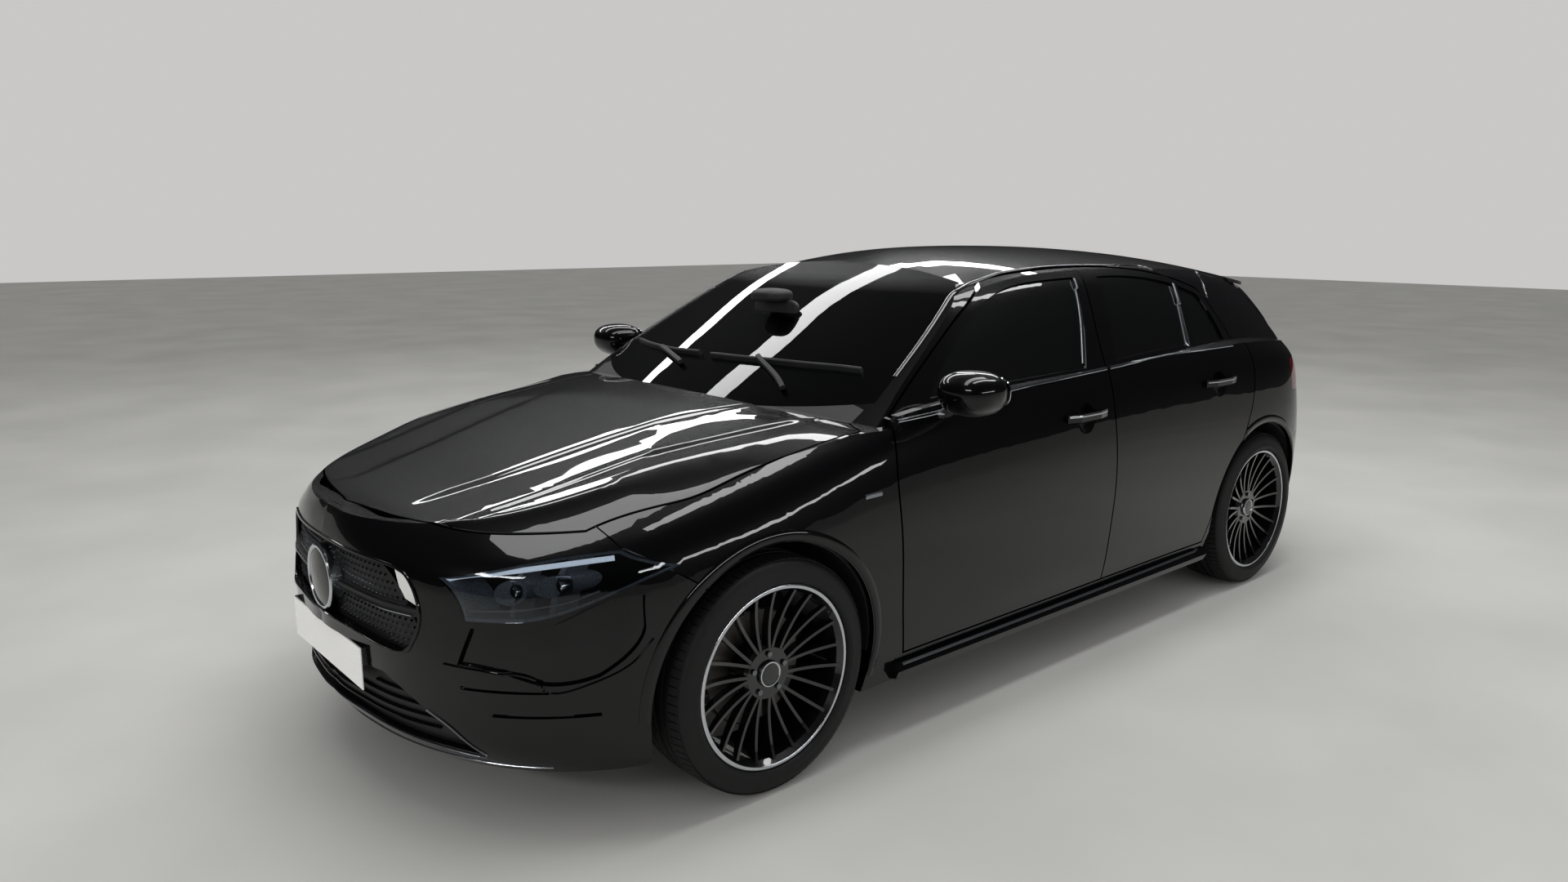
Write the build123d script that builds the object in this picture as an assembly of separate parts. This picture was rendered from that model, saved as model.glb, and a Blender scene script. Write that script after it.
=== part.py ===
from build123d import *
import math
import os

os.makedirs("parts", exist_ok=True)

# Driving dimensions of the whole car, in millimetres.
# X points forward, Y to the left and Z up, with the origin on the ground under the middle.
LENGTH = 4428
WIDTH = 1796
WHEELBASE = 2729
FRONT_OVERHANG = 885
TYRE_RADIUS = 331
TYRE_WIDTH = 225
RIM_SEAT_RADIUS = 241.3
FRONT_TRACK = 1567
REAR_TRACK = 1558
UNDERSIDE_Z = 170
ROOF_Z = 1442

# Panel build.
PANEL = 20
DOOR_SKIN = 35
DOOR_DEPTH = 115
HOOD_DEPTH = 28
TAILGATE_DEPTH = 60
PANEL_GAP = 7
GLASS = 5
SEAT_GAP = 0.3

NOSE_X = LENGTH / 2
TAIL_X = -LENGTH / 2
FRONT_AXLE_X = NOSE_X - FRONT_OVERHANG
REAR_AXLE_X = FRONT_AXLE_X - WHEELBASE
HALF_WIDTH = WIDTH / 2
FRONT_ARCH_RADIUS = TYRE_RADIUS + 43
STEER_ARCH_RADIUS = TYRE_RADIUS + 55
STEER_ARCH_Y = 765
REAR_ARCH_RADIUS = TYRE_RADIUS + 49


# ---------------------------------------------------------------- helpers

def smooth_curve(points):
    """A natural cubic spline through (x, value) points, held straight past both ends."""
    points = sorted(points)
    xs = [float(p[0]) for p in points]
    ys = [float(p[1]) for p in points]
    last = len(xs) - 1
    h = [xs[i + 1] - xs[i] for i in range(last)]
    rise = [(ys[i + 1] - ys[i]) / h[i] for i in range(last)]
    upper = [0.0] * (last + 1)
    bend = [0.0] * (last + 1)
    for i in range(1, last):
        pivot = 2 * (h[i - 1] + h[i]) - h[i - 1] * upper[i - 1]
        upper[i] = h[i] / pivot
        bend[i] = (6 * (rise[i] - rise[i - 1]) - h[i - 1] * bend[i - 1]) / pivot
    for i in range(last - 1, 0, -1):
        bend[i] -= upper[i] * bend[i + 1]
    bend[0] = 0.0
    bend[last] = 0.0

    def value(x):
        if x <= xs[0]:
            return ys[0] + (rise[0] - h[0] * bend[1] / 6) * (x - xs[0])
        if x >= xs[-1]:
            return ys[-1] + (rise[-1] + h[-1] * bend[last - 1] / 6) * (x - xs[-1])
        i = sum(1 for a in xs[1:-1] if x > a)
        a = xs[i + 1] - x
        b = x - xs[i]
        cubic = (bend[i] * a**3 + bend[i + 1] * b**3) / (6 * h[i])
        return cubic + (ys[i] / h[i] - bend[i] * h[i] / 6) * a + (
            ys[i + 1] / h[i] - bend[i + 1] * h[i] / 6) * b

    return value


def spread(low, high, count):
    """Evenly spaced values from low to high."""
    return [low + (high - low) * i / (count - 1) for i in range(count)]


def block_behind(grid, reach, direction):
    """The solid that lies behind a fair surface laid through a grid of points."""
    face = Face.make_surface_from_array_of_points([[Vector(*p) for p in row] for row in grid], tol=0.2)
    return extrude(face, amount=reach, dir=direction)


def outline(*runs):
    """A closed outline. Each run goes on from the last one's end; over one point makes it smooth."""
    ends = [runs[i - 1][-1] for i in range(len(runs))]
    return [[end] + list(run) for end, run in zip(ends, runs)]


def turn_out(before, point, after, amount):
    """A corner of a left-turning outline moved outwards by an even amount."""
    a = math.atan2(point[1] - before[1], point[0] - before[0])
    b = math.atan2(after[1] - point[1], after[0] - point[0])
    reach = amount / max(1 + math.cos(a - b), .4)
    return (point[0] + reach * (math.sin(a) + math.sin(b)),
            point[1] - reach * (math.cos(a) + math.cos(b)))


def face(runs, amount=0):
    """The face inside an outline, grown outwards by an even amount."""
    if amount:
        ring = [p for run in runs for p in run[1:]]
        doubled_area = sum(p[0] * q[1] - q[0] * p[1] for p, q in zip(ring, ring[1:] + ring[:1]))
        amount = math.copysign(amount, amount * doubled_area)
        moved = []
        for i, run in enumerate(runs):
            line = [runs[i - 1][-2]] + run + [runs[(i + 1) % len(runs)][1]]
            moved.append([turn_out(*line[j - 1:j + 2], amount) for j in range(1, len(line) - 1)])
        runs = moved
    return make_face([Line(*run) if len(run) == 2 else Spline(*run) for run in runs])


def along_y(runs, low=0, high=1200, gap=0):
    """An outline drawn in X and Z, pushed along Y."""
    return Pos(0, low, 0) * extrude(Plane.XZ * face(runs, gap), amount=high - low, dir=(0, 1, 0))


def along_x(runs, low, high, gap=0):
    """An outline drawn in Y and Z, pushed along X."""
    return Pos(low, 0, 0) * extrude(Plane.YZ * face(runs, gap), amount=high - low, dir=(1, 0, 0))


def along_z(runs, low=0, high=2000, gap=0):
    """An outline drawn in X and Y, pushed along Z."""
    return Pos(0, 0, low) * extrude(face(runs, gap), amount=high - low, dir=(0, 0, 1))


def box(x0, x1, y0, y1, z0, z1):
    centre = ((x0 + x1) / 2, (y0 + y1) / 2, (z0 + z1) / 2)
    return Pos(*centre) * Box(abs(x1 - x0), abs(y1 - y0), abs(z1 - z0))


def tube_y(x, z, radius, y0, y1):
    """A cylinder lying along Y."""
    return Pos(x, (y0 + y1) / 2, z) * Rot(90, 0, 0) * Cylinder(radius, abs(y1 - y0))


def mirrored(shape):
    return mirror(shape, about=Plane.XZ)


def both(shape):
    """A left-hand shape and its right-hand twin."""
    return [shape, mirrored(shape)]


def across(shape):
    """A left half joined to its mirror image."""
    return shape + mirrored(shape)


def save(name, *shapes):
    solids = []
    for shape in shapes:
        group = shape if isinstance(shape, (list, tuple)) else [shape]
        for item in group:
            solids += [s for s in item.solids() if s.volume > 20]
    export_step(Compound(children=solids) if len(solids) > 1 else solids[0], f"parts/{name}.step")
    return solids


# ---------------------------------------------------------------- body surfaces

crest_height = smooth_curve([
    (NOSE_X, 730), (NOSE_X - 128, 738), (NOSE_X - 264, 757), (NOSE_X - 464, 797),
    (FRONT_AXLE_X + 220, 842), (FRONT_AXLE_X, 888), (FRONT_AXLE_X - 230, 925),
    (FRONT_AXLE_X - 330, 941), (FRONT_AXLE_X - 470, 965), (FRONT_AXLE_X - 730, 996),
    (FRONT_AXLE_X - 1030, 1013), (FRONT_AXLE_X - 1500, 1030), (REAR_AXLE_X + 600, 1046),
    (REAR_AXLE_X + 250, 1053), (REAR_AXLE_X, 1050), (REAR_AXLE_X - 250, 1035),
    (REAR_AXLE_X - 500, 1012), (TAIL_X, 985)])

# Distance of the nose and the tail from the full length, by height.
nose_set_back = smooth_curve([
    (170, 84), (230, 32), (330, 6), (430, 0), (520, 2), (600, 8), (700, 18), (760, 34), (850, 64)])
tail_set_back = smooth_curve([
    (170, 104), (260, 49), (400, 14), (520, 0), (620, 9), (720, 30), (800, 45), (900, 52),
    (980, 74), (1060, 118)])

# How far the side lies inside the half width, at shares of the height from underside to crest.
STATIONS = [
    NOSE_X - 114, NOSE_X - 464, FRONT_AXLE_X, FRONT_AXLE_X - 330, FRONT_AXLE_X - 470,
    FRONT_AXLE_X - 730, 0, REAR_AXLE_X + 500, REAR_AXLE_X, REAR_AXLE_X - 450, TAIL_X]
SIDE_INSETS = {
    -.04: (58, 58, 58, 62, 66, 68, 68, 66, 58, 54, 54),
    0.00: (48, 48, 48, 52, 56, 58, 58, 56, 48, 44, 44),
    0.12: (30, 30, 28, 30, 32, 32, 32, 32, 24, 26, 30),
    0.30: (14, 14, 13, 14, 15, 15, 15, 14, 7, 12, 16),
    0.50: (6, 6, 5, 6, 7, 7, 7, 6, 1, 5, 8),
    0.70: (12, 12, 10, 13, 13, 13, 13, 13, 8, 10, 10),
    0.84: (26, 26, 30, 29, 29, 29, 28, 28, 24, 26, 22),
    0.93: (60, 60, 62, 53, 49, 47, 46, 46, 44, 50, 44),
    1.00: (131, 131, 120, 106, 88, 74, 70, 70, 78, 98, 86),
    1.08: (250, 250, 238, 204, 158, 118, 110, 110, 138, 178, 160)}
INSET_CURVES = {share: smooth_curve(list(zip(STATIONS, row))) for share, row in SIDE_INSETS.items()}
BELT_ROWS = [-.04, .02, .1, .2, .35, .5, .65, .77, .85, .91, .96, 1.01, 1.08]
NOSE_START_X = NOSE_X - 964
TAIL_START_X = REAR_AXLE_X - 50
CORNER_P = 3.0
CORNER_Q = 2.2
CORNER_ANGLES = [90, 84, 74, 62, 50, 36, 22, 9]


def side_half_width(x, share):
    """Half width of the flank before the nose or tail rounds it in."""
    return HALF_WIDTH - smooth_curve([(s, curve(x)) for s, curve in sorted(INSET_CURVES.items())])(share)


def corner_point(angle, share, inset, start, end_at, sign):
    """A point on the rounded nose or tail; angle 0 joins the flank and 90 is the centre line."""
    x = start
    for _ in range(6):
        z = UNDERSIDE_Z + share * (crest_height(x) - UNDERSIDE_Z)
        x = start + (end_at(z) - sign * inset - start) * math.sin(angle) ** (2 / CORNER_P)
    return x, (side_half_width(x, share) - inset) * math.cos(angle) ** (2 / CORNER_Q), z


def nose_at(z):
    return NOSE_X - nose_set_back(z)


def tail_at(z):
    return TAIL_X + tail_set_back(z)


def corner_run(share, inset, start, end_at, sign):
    run = [corner_point(math.radians(a), share, inset, start, end_at, sign) for a in CORNER_ANGLES]
    return [(run[0][0], -60, run[0][2])] + run


def belt_block(inset):
    """Everything inside the flanks, nose and tail, set in by an even amount."""
    grid = []
    for share in BELT_ROWS:
        row = corner_run(share, inset, NOSE_START_X, nose_at, 1)
        for x in spread(NOSE_START_X, TAIL_START_X, 8):
            z = UNDERSIDE_Z + share * (crest_height(x) - UNDERSIDE_Z)
            row.append((x, side_half_width(x, share) - inset, z))
        row += reversed(corner_run(share, inset, TAIL_START_X, tail_at, -1))
        grid.append(row)
    return block_behind(grid, 1100, (0, -1, 0))


# The shoulder rises from the crest inwards; the hood top cuts it off in front of the cabin.
shoulder_slope = smooth_curve([
    (NOSE_X, .45), (FRONT_AXLE_X + 430, .41), (FRONT_AXLE_X, .27), (FRONT_AXLE_X - 330, .14),
    (FRONT_AXLE_X - 490, .1), (600, .13), (0, .22), (REAR_AXLE_X + 300, .2), (REAR_AXLE_X - 200, .08),
    (REAR_AXLE_X - 500, .03), (TAIL_X, .02)])
hood_line = smooth_curve([
    (NOSE_X - 1414, 993), (NOSE_X - 1214, 982), (NOSE_X - 1014, 968), (NOSE_X - 885, 953),
    (NOSE_X - 614, 926), (NOSE_X - 364, 893), (NOSE_X - 214, 868), (NOSE_X - 124, 843),
    (NOSE_X - 64, 800), (NOSE_X - 14, 738), (NOSE_X + 11, 700), (NOSE_X + 86, 600)])
hood_crown = smooth_curve([
    (FRONT_AXLE_X - 470, 50), (FRONT_AXLE_X, 45), (FRONT_AXLE_X + 370, 105),
    (FRONT_AXLE_X + 620, 165), (NOSE_X, 190)])


def hood_height(x, y):
    """Top of the hood: the centre line swept back towards the sides and crowned across."""
    return hood_line(x + 80 * (y / 500) ** 2) - hood_crown(x) * (y / 1000) ** 2


def shoulder_block(inset):
    grid = []
    for x in spread(TAIL_X - 80, NOSE_X + 80, 26):
        grid.append([(x, y, crest_height(x) + (side_half_width(x, 1) - y) * shoulder_slope(x) - inset)
                     for y in spread(-60, 960, 6)])
    return block_behind(grid, 1300, (0, 0, -1))


def above_hood(inset):
    """The space over the hood, from the windscreen base to past the nose."""
    grid = []
    for x in spread(FRONT_AXLE_X - 490, NOSE_X + 90, 18):
        grid.append([(x, y, hood_height(x, y) - inset) for y in spread(-60, 960, 8)])
    return block_behind(grid, 700, (0, 0, 1))


roof_line = smooth_curve([
    (700, 1310), (230, 1392), (0, 1425), (-400, ROOF_Z), (-900, 1430), (-1400, 1392),
    (-1750, 1345), (-1950, 1312), (-2250, 1262)])
ROOF_CROWN = 210
# Half width of the cabin by its share of the height from crest to roof.
cabin_half_width = smooth_curve([
    (-.25, 862), (0, 820), (.17, 785), (.41, 735), (.65, 675), (.75, 640), (.82, 600), (.9, 540),
    (.97, 440), (1.03, 330)])
cabin_taper = smooth_curve([
    (1050, 46), (700, 24), (300, 8), (-300, 0), (-800, 18), (-1200, 42), (-1600, 88),
    (-2000, 165), (-2300, 235)])
screen_line = smooth_curve([
    (900, 1128), (985, 1000), (1120, 770), (1250, 530), (1331, 370), (1392, 232), (1480, 10)])
SCREEN_CROWN = 290
rear_glass_line = smooth_curve([
    (900, -2160), (1020, -2085), (1100, -2030), (1200, -1945), (1300, -1845), (1350, -1790),
    (1480, -1640)])
REAR_GLASS_CROWN = 330


def cabin_side_block(inset):
    grid = []
    for share in (-.25, -.12, 0, .1, .2, .3, .41, .53, .65, .7, .75, .785, .82, .86, .9, .935, .97, 1.03):
        row = []
        for x in spread(-2300, 1150, 24):
            z = crest_height(x) + share * (roof_line(x) - crest_height(x))
            row.append((x, cabin_half_width(share) - cabin_taper(x) - 1.09 * inset, z))
        grid.append(row)
    return block_behind(grid, 1200, (0, -1, 0))


def roof_block(inset):
    grid = []
    for x in spread(-2300, 1150, 20):
        grid.append([(x, y, roof_line(x) - ROOF_CROWN * (y / 1000) ** 2 - inset)
                     for y in spread(-60, 960, 9)])
    return block_behind(grid, 700, (0, 0, -1))


def screen_block(inset):
    grid = []
    for z in spread(900, 1480, 12):
        grid.append([(screen_line(z) - SCREEN_CROWN * (y / 1000) ** 2 - 2 * inset, y, z)
                     for y in spread(-60, 960, 9)])
    return block_behind(grid, 4500, (-1, 0, 0))


def rear_glass_block(inset):
    grid = []
    for z in spread(900, 1480, 12):
        grid.append([(rear_glass_line(z) + REAR_GLASS_CROWN * (y / 1000) ** 2 + 1.35 * inset, y, z)
                     for y in spread(-60, 960, 9)])
    return block_behind(grid, 4500, (1, 0, 0))


LEFT_HALF = box(-3000, 3000, 0, 1500, -100, 2000)


def lower_body(inset):
    floor = box(-3000, 3000, -100, 1500, UNDERSIDE_Z + inset, 1600)
    return (belt_block(inset) & floor & shoulder_block(inset) & LEFT_HALF) - above_hood(inset)


def cabin(inset):
    tail_deck = box(TAIL_X - 100, REAR_AXLE_X - 500, -100, 1200, 0, crest_height(REAR_AXLE_X - 640) - 10)
    return (cabin_side_block(inset) & roof_block(inset) & screen_block(inset)
            & rear_glass_block(inset) & LEFT_HALF) - tail_deck


def body(inset):
    return lower_body(inset) + cabin(inset)


BODY_0 = body(0)
BODY_PANEL = body(PANEL)


def set_in(distance):
    """The whole body moved inwards and down, to give the back face of a door or its frame."""
    return Pos(0, -distance, -.4 * distance) * BODY_0


# ---------------------------------------------------------------- outlines of the openings

# Seen from the side.
DOOR_SPLIT = [(-249, 262), (-258, 480), (-264, 718), (-256, 980), (-312, 1250), (-366, 1372)]
FRONT_DOOR = outline(
    [(832, 400), (852, 640), (856, 872), (836, 958)], [(735, 1024), (503, 1164), (253, 1294), (160, 1334)],
    [(22, 1353), (-176, 1367), DOOR_SPLIT[5]], DOOR_SPLIT[4::-1], [(808, 262)])
rear_arch_foot = (REAR_AXLE_X + REAR_ARCH_RADIUS + 42, 262)
rear_arch_side = (REAR_AXLE_X + REAR_ARCH_RADIUS * math.cos(math.radians(28)),
                  TYRE_RADIUS + REAR_ARCH_RADIUS * math.sin(math.radians(28)))
REAR_DOOR = outline(
    [(x - PANEL_GAP, z) for x, z in DOOR_SPLIT[1:]], [(-720, 1359), (-980, 1322), (-1176, 1268)],
    [(-1262, 1120), (-1296, 985)], [(-1288, 860), (-1210, 680), (-1128, 560), rear_arch_side],
    [rear_arch_foot], [(DOOR_SPLIT[0][0] - PANEL_GAP, 262)])
FRONT_WINDOW = outline(
    [(440, 1164), (236, 1272)], [(68, 1320), (-130, 1337), (-296, 1342)],
    [(-236, 1200), (-148, 1038)], [(303, 1026), (640, 1008)])
REAR_WINDOW = outline(
    [(-448, 1340)], [(-756, 1330), (-990, 1296)], [(-906, 1066)], [(-700, 1066), (-344, 1050)])
REAR_QUARTER = outline(
    [(-1018, 1290)], [(-1150, 1252)], [(-1196, 1160), (-1212, 1068)], [(-938, 1068)])
REAR_GLASS_SHAPES = [REAR_WINDOW, REAR_QUARTER]
SEAM = [(1772, 1000), (1772, 800), (1748, 752), (1664, 702), (1560, 632), (1560, 0)]
BUMPER_SIDE = outline([SEAM[1]], [SEAM[2]], [SEAM[3]], [SEAM[4]], [SEAM[5]], [(2400, 0)],
                      [(2400, 1000)], [SEAM[0]])
REAR_BUMPER_SIDE = outline([(-1700, 600)], [(-1850, 650)], [(-2400, 650)], [(-2400, 0)], [(-1700, 0)])

# Seen from above: the hood runs back along the crest on each side.
hood_edge = [(x, side_half_width(x, 1) - 3) for x in spread(FRONT_AXLE_X + 200, FRONT_AXLE_X - 380, 5)]
HOOD_PLAN = outline(
    [(2104, 130), (2050, 389), (1985, 512), (1905, 600), (1790, 693)], [(1600, 750)] + hood_edge,
    [(918, 720)], [(985, 520), (1030, 260), (1040, 0)], [(1040, -40)], [(2122, -40)], [(2122, 0)])

# Seen from behind.
TAILGATE_BACK = outline(
    [(560, 650)], [(640, 690), (672, 800)], [(668, 960)], [(640, 1040)], [(585, 1180), (540, 1310)],
    [(540, 1500)], [(-40, 1500)], [(-40, 650)])
TAILGATE_SIDE = outline([(-1400, 1500)], [(-1700, 1300)], [(-1900, 1010)], [(-1900, 500)], [(-2400, 500)],
                        [(-2400, 1500)])
REAR_GLASS = outline([(470, 1180), (420, 1262)], [(200, 1282), (-40, 1288)],
                     [(-40, 1022)], [(300, 1026), (520, 1050)])
TAIL_LAMP = outline(
    [(415, 862)], [(640, 915), (800, 958)], [(950, 950)], [(950, 860)], [(850, 820)],
    [(640, 800), (420, 815)])

# Seen from the front.
WINDSCREEN = outline(
    [(647, 1187), (564, 1322)], [(300, 1362), (0, 1370)], [(-40, 1370)],
    [(-40, 985)], [(0, 985)], [(400, 985), (708, 1016)])
GRILLE = outline(
    [(365, 684)], [(430, 650), (457, 575), (440, 510), (392, 474)], [(200, 487), (0, 492)],
    [(-40, 492)], [(-40, 694)], [(0, 694)])
HEADLAMP = outline(
    [(650, 716), (725, 737), (784, 745)], [(850, 700)], [(810, 655), (757, 614), (690, 590)],
    [(575, 584)], [(540, 652), (500, 678)])
RECESS_DEPTH = 11
BUMPER_RECESS = outline(
    [(560, 470)], [(640, 462), (706, 436)], [(750, 428), (800, 446)], [(832, 500), (842, 560)],
    [(836, 640)], [(814, 640), (757, 598), (690, 574)], [(590, 566)])
INTAKE_TOP = 405
INTAKE = outline(
    [(330, INTAKE_TOP)], [(500, 300), (575, 222)], [(350, 240), (0, 258)], [(-40, 258)],
    [(-40, INTAKE_TOP)])


def nose_zone(runs, gap=0):
    return along_x(runs, FRONT_AXLE_X, NOSE_X + 100, gap)


def tail_zone(runs, gap=0):
    return along_x(runs, TAIL_X - 100, REAR_AXLE_X - 270, gap)


def screen_zone(gap=0):
    return along_x(WINDSCREEN, 100, 1100, gap)


# ---------------------------------------------------------------- panels

PLATE_LENGTH = 520
PLATE_HEIGHT = 112
PLATE_THICK = 3
PLATE_X = NOSE_X - 10
FRONT_PLATE_Z = 338
REAR_PLATE_Z = 470


def plate_zone_yz(z):
    """The sideways and upward limits of the flat that a number plate sits on."""
    return PLATE_LENGTH / 2 + 3, z - 4, z + PLATE_HEIGHT + 4


wheel_houses = (tube_y(FRONT_AXLE_X, TYRE_RADIUS, FRONT_ARCH_RADIUS, 470, 1200)
                + tube_y(FRONT_AXLE_X, TYRE_RADIUS, STEER_ARCH_RADIUS, 470, STEER_ARCH_Y)
                + tube_y(REAR_AXLE_X, TYRE_RADIUS, REAR_ARCH_RADIUS, 600, 1200))
arch_feet = (along_y(outline([(FRONT_AXLE_X + FRONT_ARCH_RADIUS, 300)], [(FRONT_AXLE_X + 350, 100)],
                             [(FRONT_AXLE_X - 350, 100)], [(FRONT_AXLE_X - FRONT_ARCH_RADIUS, 300)]), 470)
             + along_y(outline([(REAR_AXLE_X + REAR_ARCH_RADIUS, 290)],
                               [(REAR_AXLE_X + REAR_ARCH_RADIUS + 60, 100)], [(REAR_AXLE_X - 330, 100)],
                               [(REAR_AXLE_X - REAR_ARCH_RADIUS, 290)]), 600))
ARCHES = wheel_houses + arch_feet

door_zone = along_y(FRONT_DOOR, gap=PANEL_GAP) + along_y(REAR_DOOR, gap=PANEL_GAP)
hood_zone = along_z(HOOD_PLAN, 600)
hood_gap = along_z(HOOD_PLAN, 600, gap=PANEL_GAP)
tailgate_zone = tail_zone(TAILGATE_BACK) & along_y(TAILGATE_SIDE, -50)
tailgate_gap = tail_zone(TAILGATE_BACK, PANEL_GAP) & along_y(TAILGATE_SIDE, -50, gap=PANEL_GAP)
bumper_zone = along_y(BUMPER_SIDE, -50)
rear_bumper_zone = along_y(REAR_BUMPER_SIDE, -50)
roof_zone = along_z(outline([(140, 560)], [(-1700, 545)], [(-1700, -40)], [(200, -40)], [(200, 0)]), 1200)

cowl_zone = box(840, 1100, -10, 716, 880, 1010)
windscreen_seat = screen_zone(14 + SEAT_GAP) - screen_block(GLASS + SEAT_GAP)
lamp_opening = nose_zone(HEADLAMP, 3)
openings = door_zone + hood_gap + tailgate_gap + ARCHES
fixed_body = BODY_0 - openings
front_half = (fixed_body & box(850, 2400, -10, 1200, 0, 1100)) - BODY_PANEL - windscreen_seat
bumper_half = (front_half & bumper_zone) - nose_zone(GRILLE) - lamp_opening - nose_zone(INTAKE)
plate_pad = box(NOSE_X - 34, PLATE_X, -10, PLATE_LENGTH / 2 + 3, INTAKE_TOP, FRONT_PLATE_Z + PLATE_HEIGHT + 4)
plate_pad = (plate_pad & LEFT_HALF) - BODY_PANEL
recess = nose_zone(BUMPER_RECESS)
for groove_y, groove_z in ((648, 411), (709, 345)):
    recess += box(1700, 2200, groove_y - 84, groove_y + 84, groove_z - 5, groove_z + 5)
bumper_half -= recess - belt_block(RECESS_DEPTH)
plate_space = box(PLATE_X, NOSE_X + 50, -20, *plate_zone_yz(FRONT_PLATE_Z))
save("front_bumper", across(bumper_half + plate_pad - plate_space))
fender_half = front_half - along_y(BUMPER_SIDE, -50, gap=4) - lamp_opening - cowl_zone
save("front_fenders", both(fender_half - box(850, 2400, -10, 480, 0, 2000)))
hood_back = Pos(0, 0, -HOOD_DEPTH - SEAT_GAP) * BODY_0
hood_rest = box(880, 965, 640, 690, 925, 1000) & hood_back
hood_rest += box(880, 905, 640, 690, 925, 985) & BODY_PANEL
save("cowl", across((front_half & cowl_zone - along_y(BUMPER_SIDE, -50)) + hood_rest))

rear_half = (fixed_body & box(-2400, 850, -10, 1200, 0, 1600)) - BODY_PANEL
rear_pad = box(TAIL_X + 34, -PLATE_X, -10, PLATE_LENGTH / 2 + 3,
               REAR_PLATE_Z - 4, REAR_PLATE_Z + PLATE_HEIGHT + 4)
rear_bumper_half = (rear_half & rear_bumper_zone) + ((rear_pad & LEFT_HALF) - BODY_PANEL)
save("rear_bumper", across(rear_bumper_half - box(TAIL_X - 50, -PLATE_X, -20, *plate_zone_yz(REAR_PLATE_Z))))
roof_half = (rear_half & roof_zone) - screen_zone() - windscreen_seat
save("roof", across(roof_half))
door_surround = along_y(FRONT_DOOR, gap=32) + along_y(REAR_DOOR, gap=32)
door_ways = along_y(FRONT_DOOR, gap=-34) + along_y(REAR_DOOR, gap=-34)
jamb = ((door_surround - door_ways) & set_in(DOOR_SKIN + PANEL_GAP)) - set_in(DOOR_DEPTH)
jamb_rim = ((door_surround - door_zone) & BODY_0) - set_in(DOOR_DEPTH)
hinge_zone = box(814, 842, 0, 1200, 430, 490) + box(818, 846, 0, 1200, 740, 800)
hinge_zone += box(-292, -268, 0, 1200, 430, 490) + box(-296, -272, 0, 1200, 740, 800)
hinge_leaves = (hinge_zone & set_in(DOOR_SKIN + SEAT_GAP)) - set_in(DOOR_SKIN + 15)
skirt_section = outline([(835, UNDERSIDE_Z + 8)], [(874, UNDERSIDE_Z + 16)], [(884, UNDERSIDE_Z + 40)],
                        [(868, UNDERSIDE_Z + 62)], [(835, UNDERSIDE_Z + 62)])
skirt = along_x(skirt_section, REAR_AXLE_X + REAR_ARCH_RADIUS + 8, 850)
JACK_X = 700
jack_pads = [box(x - 35, x + 35, 762, 812, UNDERSIDE_Z - 10, UNDERSIDE_Z + 4) for x in (JACK_X, -JACK_X)]
side_half = rear_half + jamb + jamb_rim + hinge_leaves + skirt + jack_pads
side_half -= box(850, 2400, -10, 1200, 0, 2000)
side_half = side_half - (along_y(REAR_BUMPER_SIDE, -50, gap=3) + roof_zone + tail_zone(TAIL_LAMP, 3)
                         + screen_zone() + windscreen_seat + ARCHES + hood_gap)
save("side_frame_left", side_half)
save("side_frame_right", mirrored(side_half))

hood_top = BODY_0 & hood_gap & box(850, 2400, -10, 1200, 0, 1050)
hood_half = (hood_top & hood_zone) - Pos(0, 0, -HOOD_DEPTH) * hood_top
save("hood", across(hood_half))
tailgate_back_face = Pos(TAILGATE_DEPTH, 0, -.5 * TAILGATE_DEPTH) * (BODY_0 & tailgate_gap)
tailgate_half = (BODY_0 & tailgate_zone) - tailgate_back_face
rear_glass_seat = tail_zone(REAR_GLASS, 12 + SEAT_GAP) - rear_glass_block(GLASS + SEAT_GAP)
tailgate_half -= tail_zone(REAR_GLASS) + tail_zone(TAIL_LAMP, 3) + rear_glass_seat
SPOILER_THICK = 16
spoiler_plan = outline([(-1708, 530)], [(-1860, 500), (-1893, 440)], [(-1912, 200), (-1916, 0)],
                       [(-1916, -40)], [(-1708, -40)])
spoiler = along_z(spoiler_plan, 1200) & roof_block(0) & LEFT_HALF
spoiler -= Pos(0, 0, -SPOILER_THICK) * roof_block(0)
save("tailgate", across(tailgate_half + spoiler))

HANDLES = {"front": (-80, 885), "rear": (-1008, 920)}
HANDLE_Y = 868
HANDLE_LENGTH = 236


def handle(place):
    """A pull handle that stands clear of the door on a foot at each end."""
    x, z = place
    half = HANDLE_LENGTH / 2
    plan = outline([(x - half, HANDLE_Y - 6)], [(x - half, HANDLE_Y + 12)], [(x - half / 2, HANDLE_Y + 27)],
                   [(x + half / 2, HANDLE_Y + 27)], [(x + half, HANDLE_Y + 12)], [(x + half, HANDLE_Y - 6)],
                   [(x + half - 34, HANDLE_Y - 6)], [(x + half - 34, HANDLE_Y + 8)],
                   [(x + half / 2 - 20, HANDLE_Y + 14)], [(x - half / 2 + 20, HANDLE_Y + 14)],
                   [(x - half + 34, HANDLE_Y + 8)], [(x - half + 34, HANDLE_Y - 6)])
    return along_z(plan, z - 13, z + 13)


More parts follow.
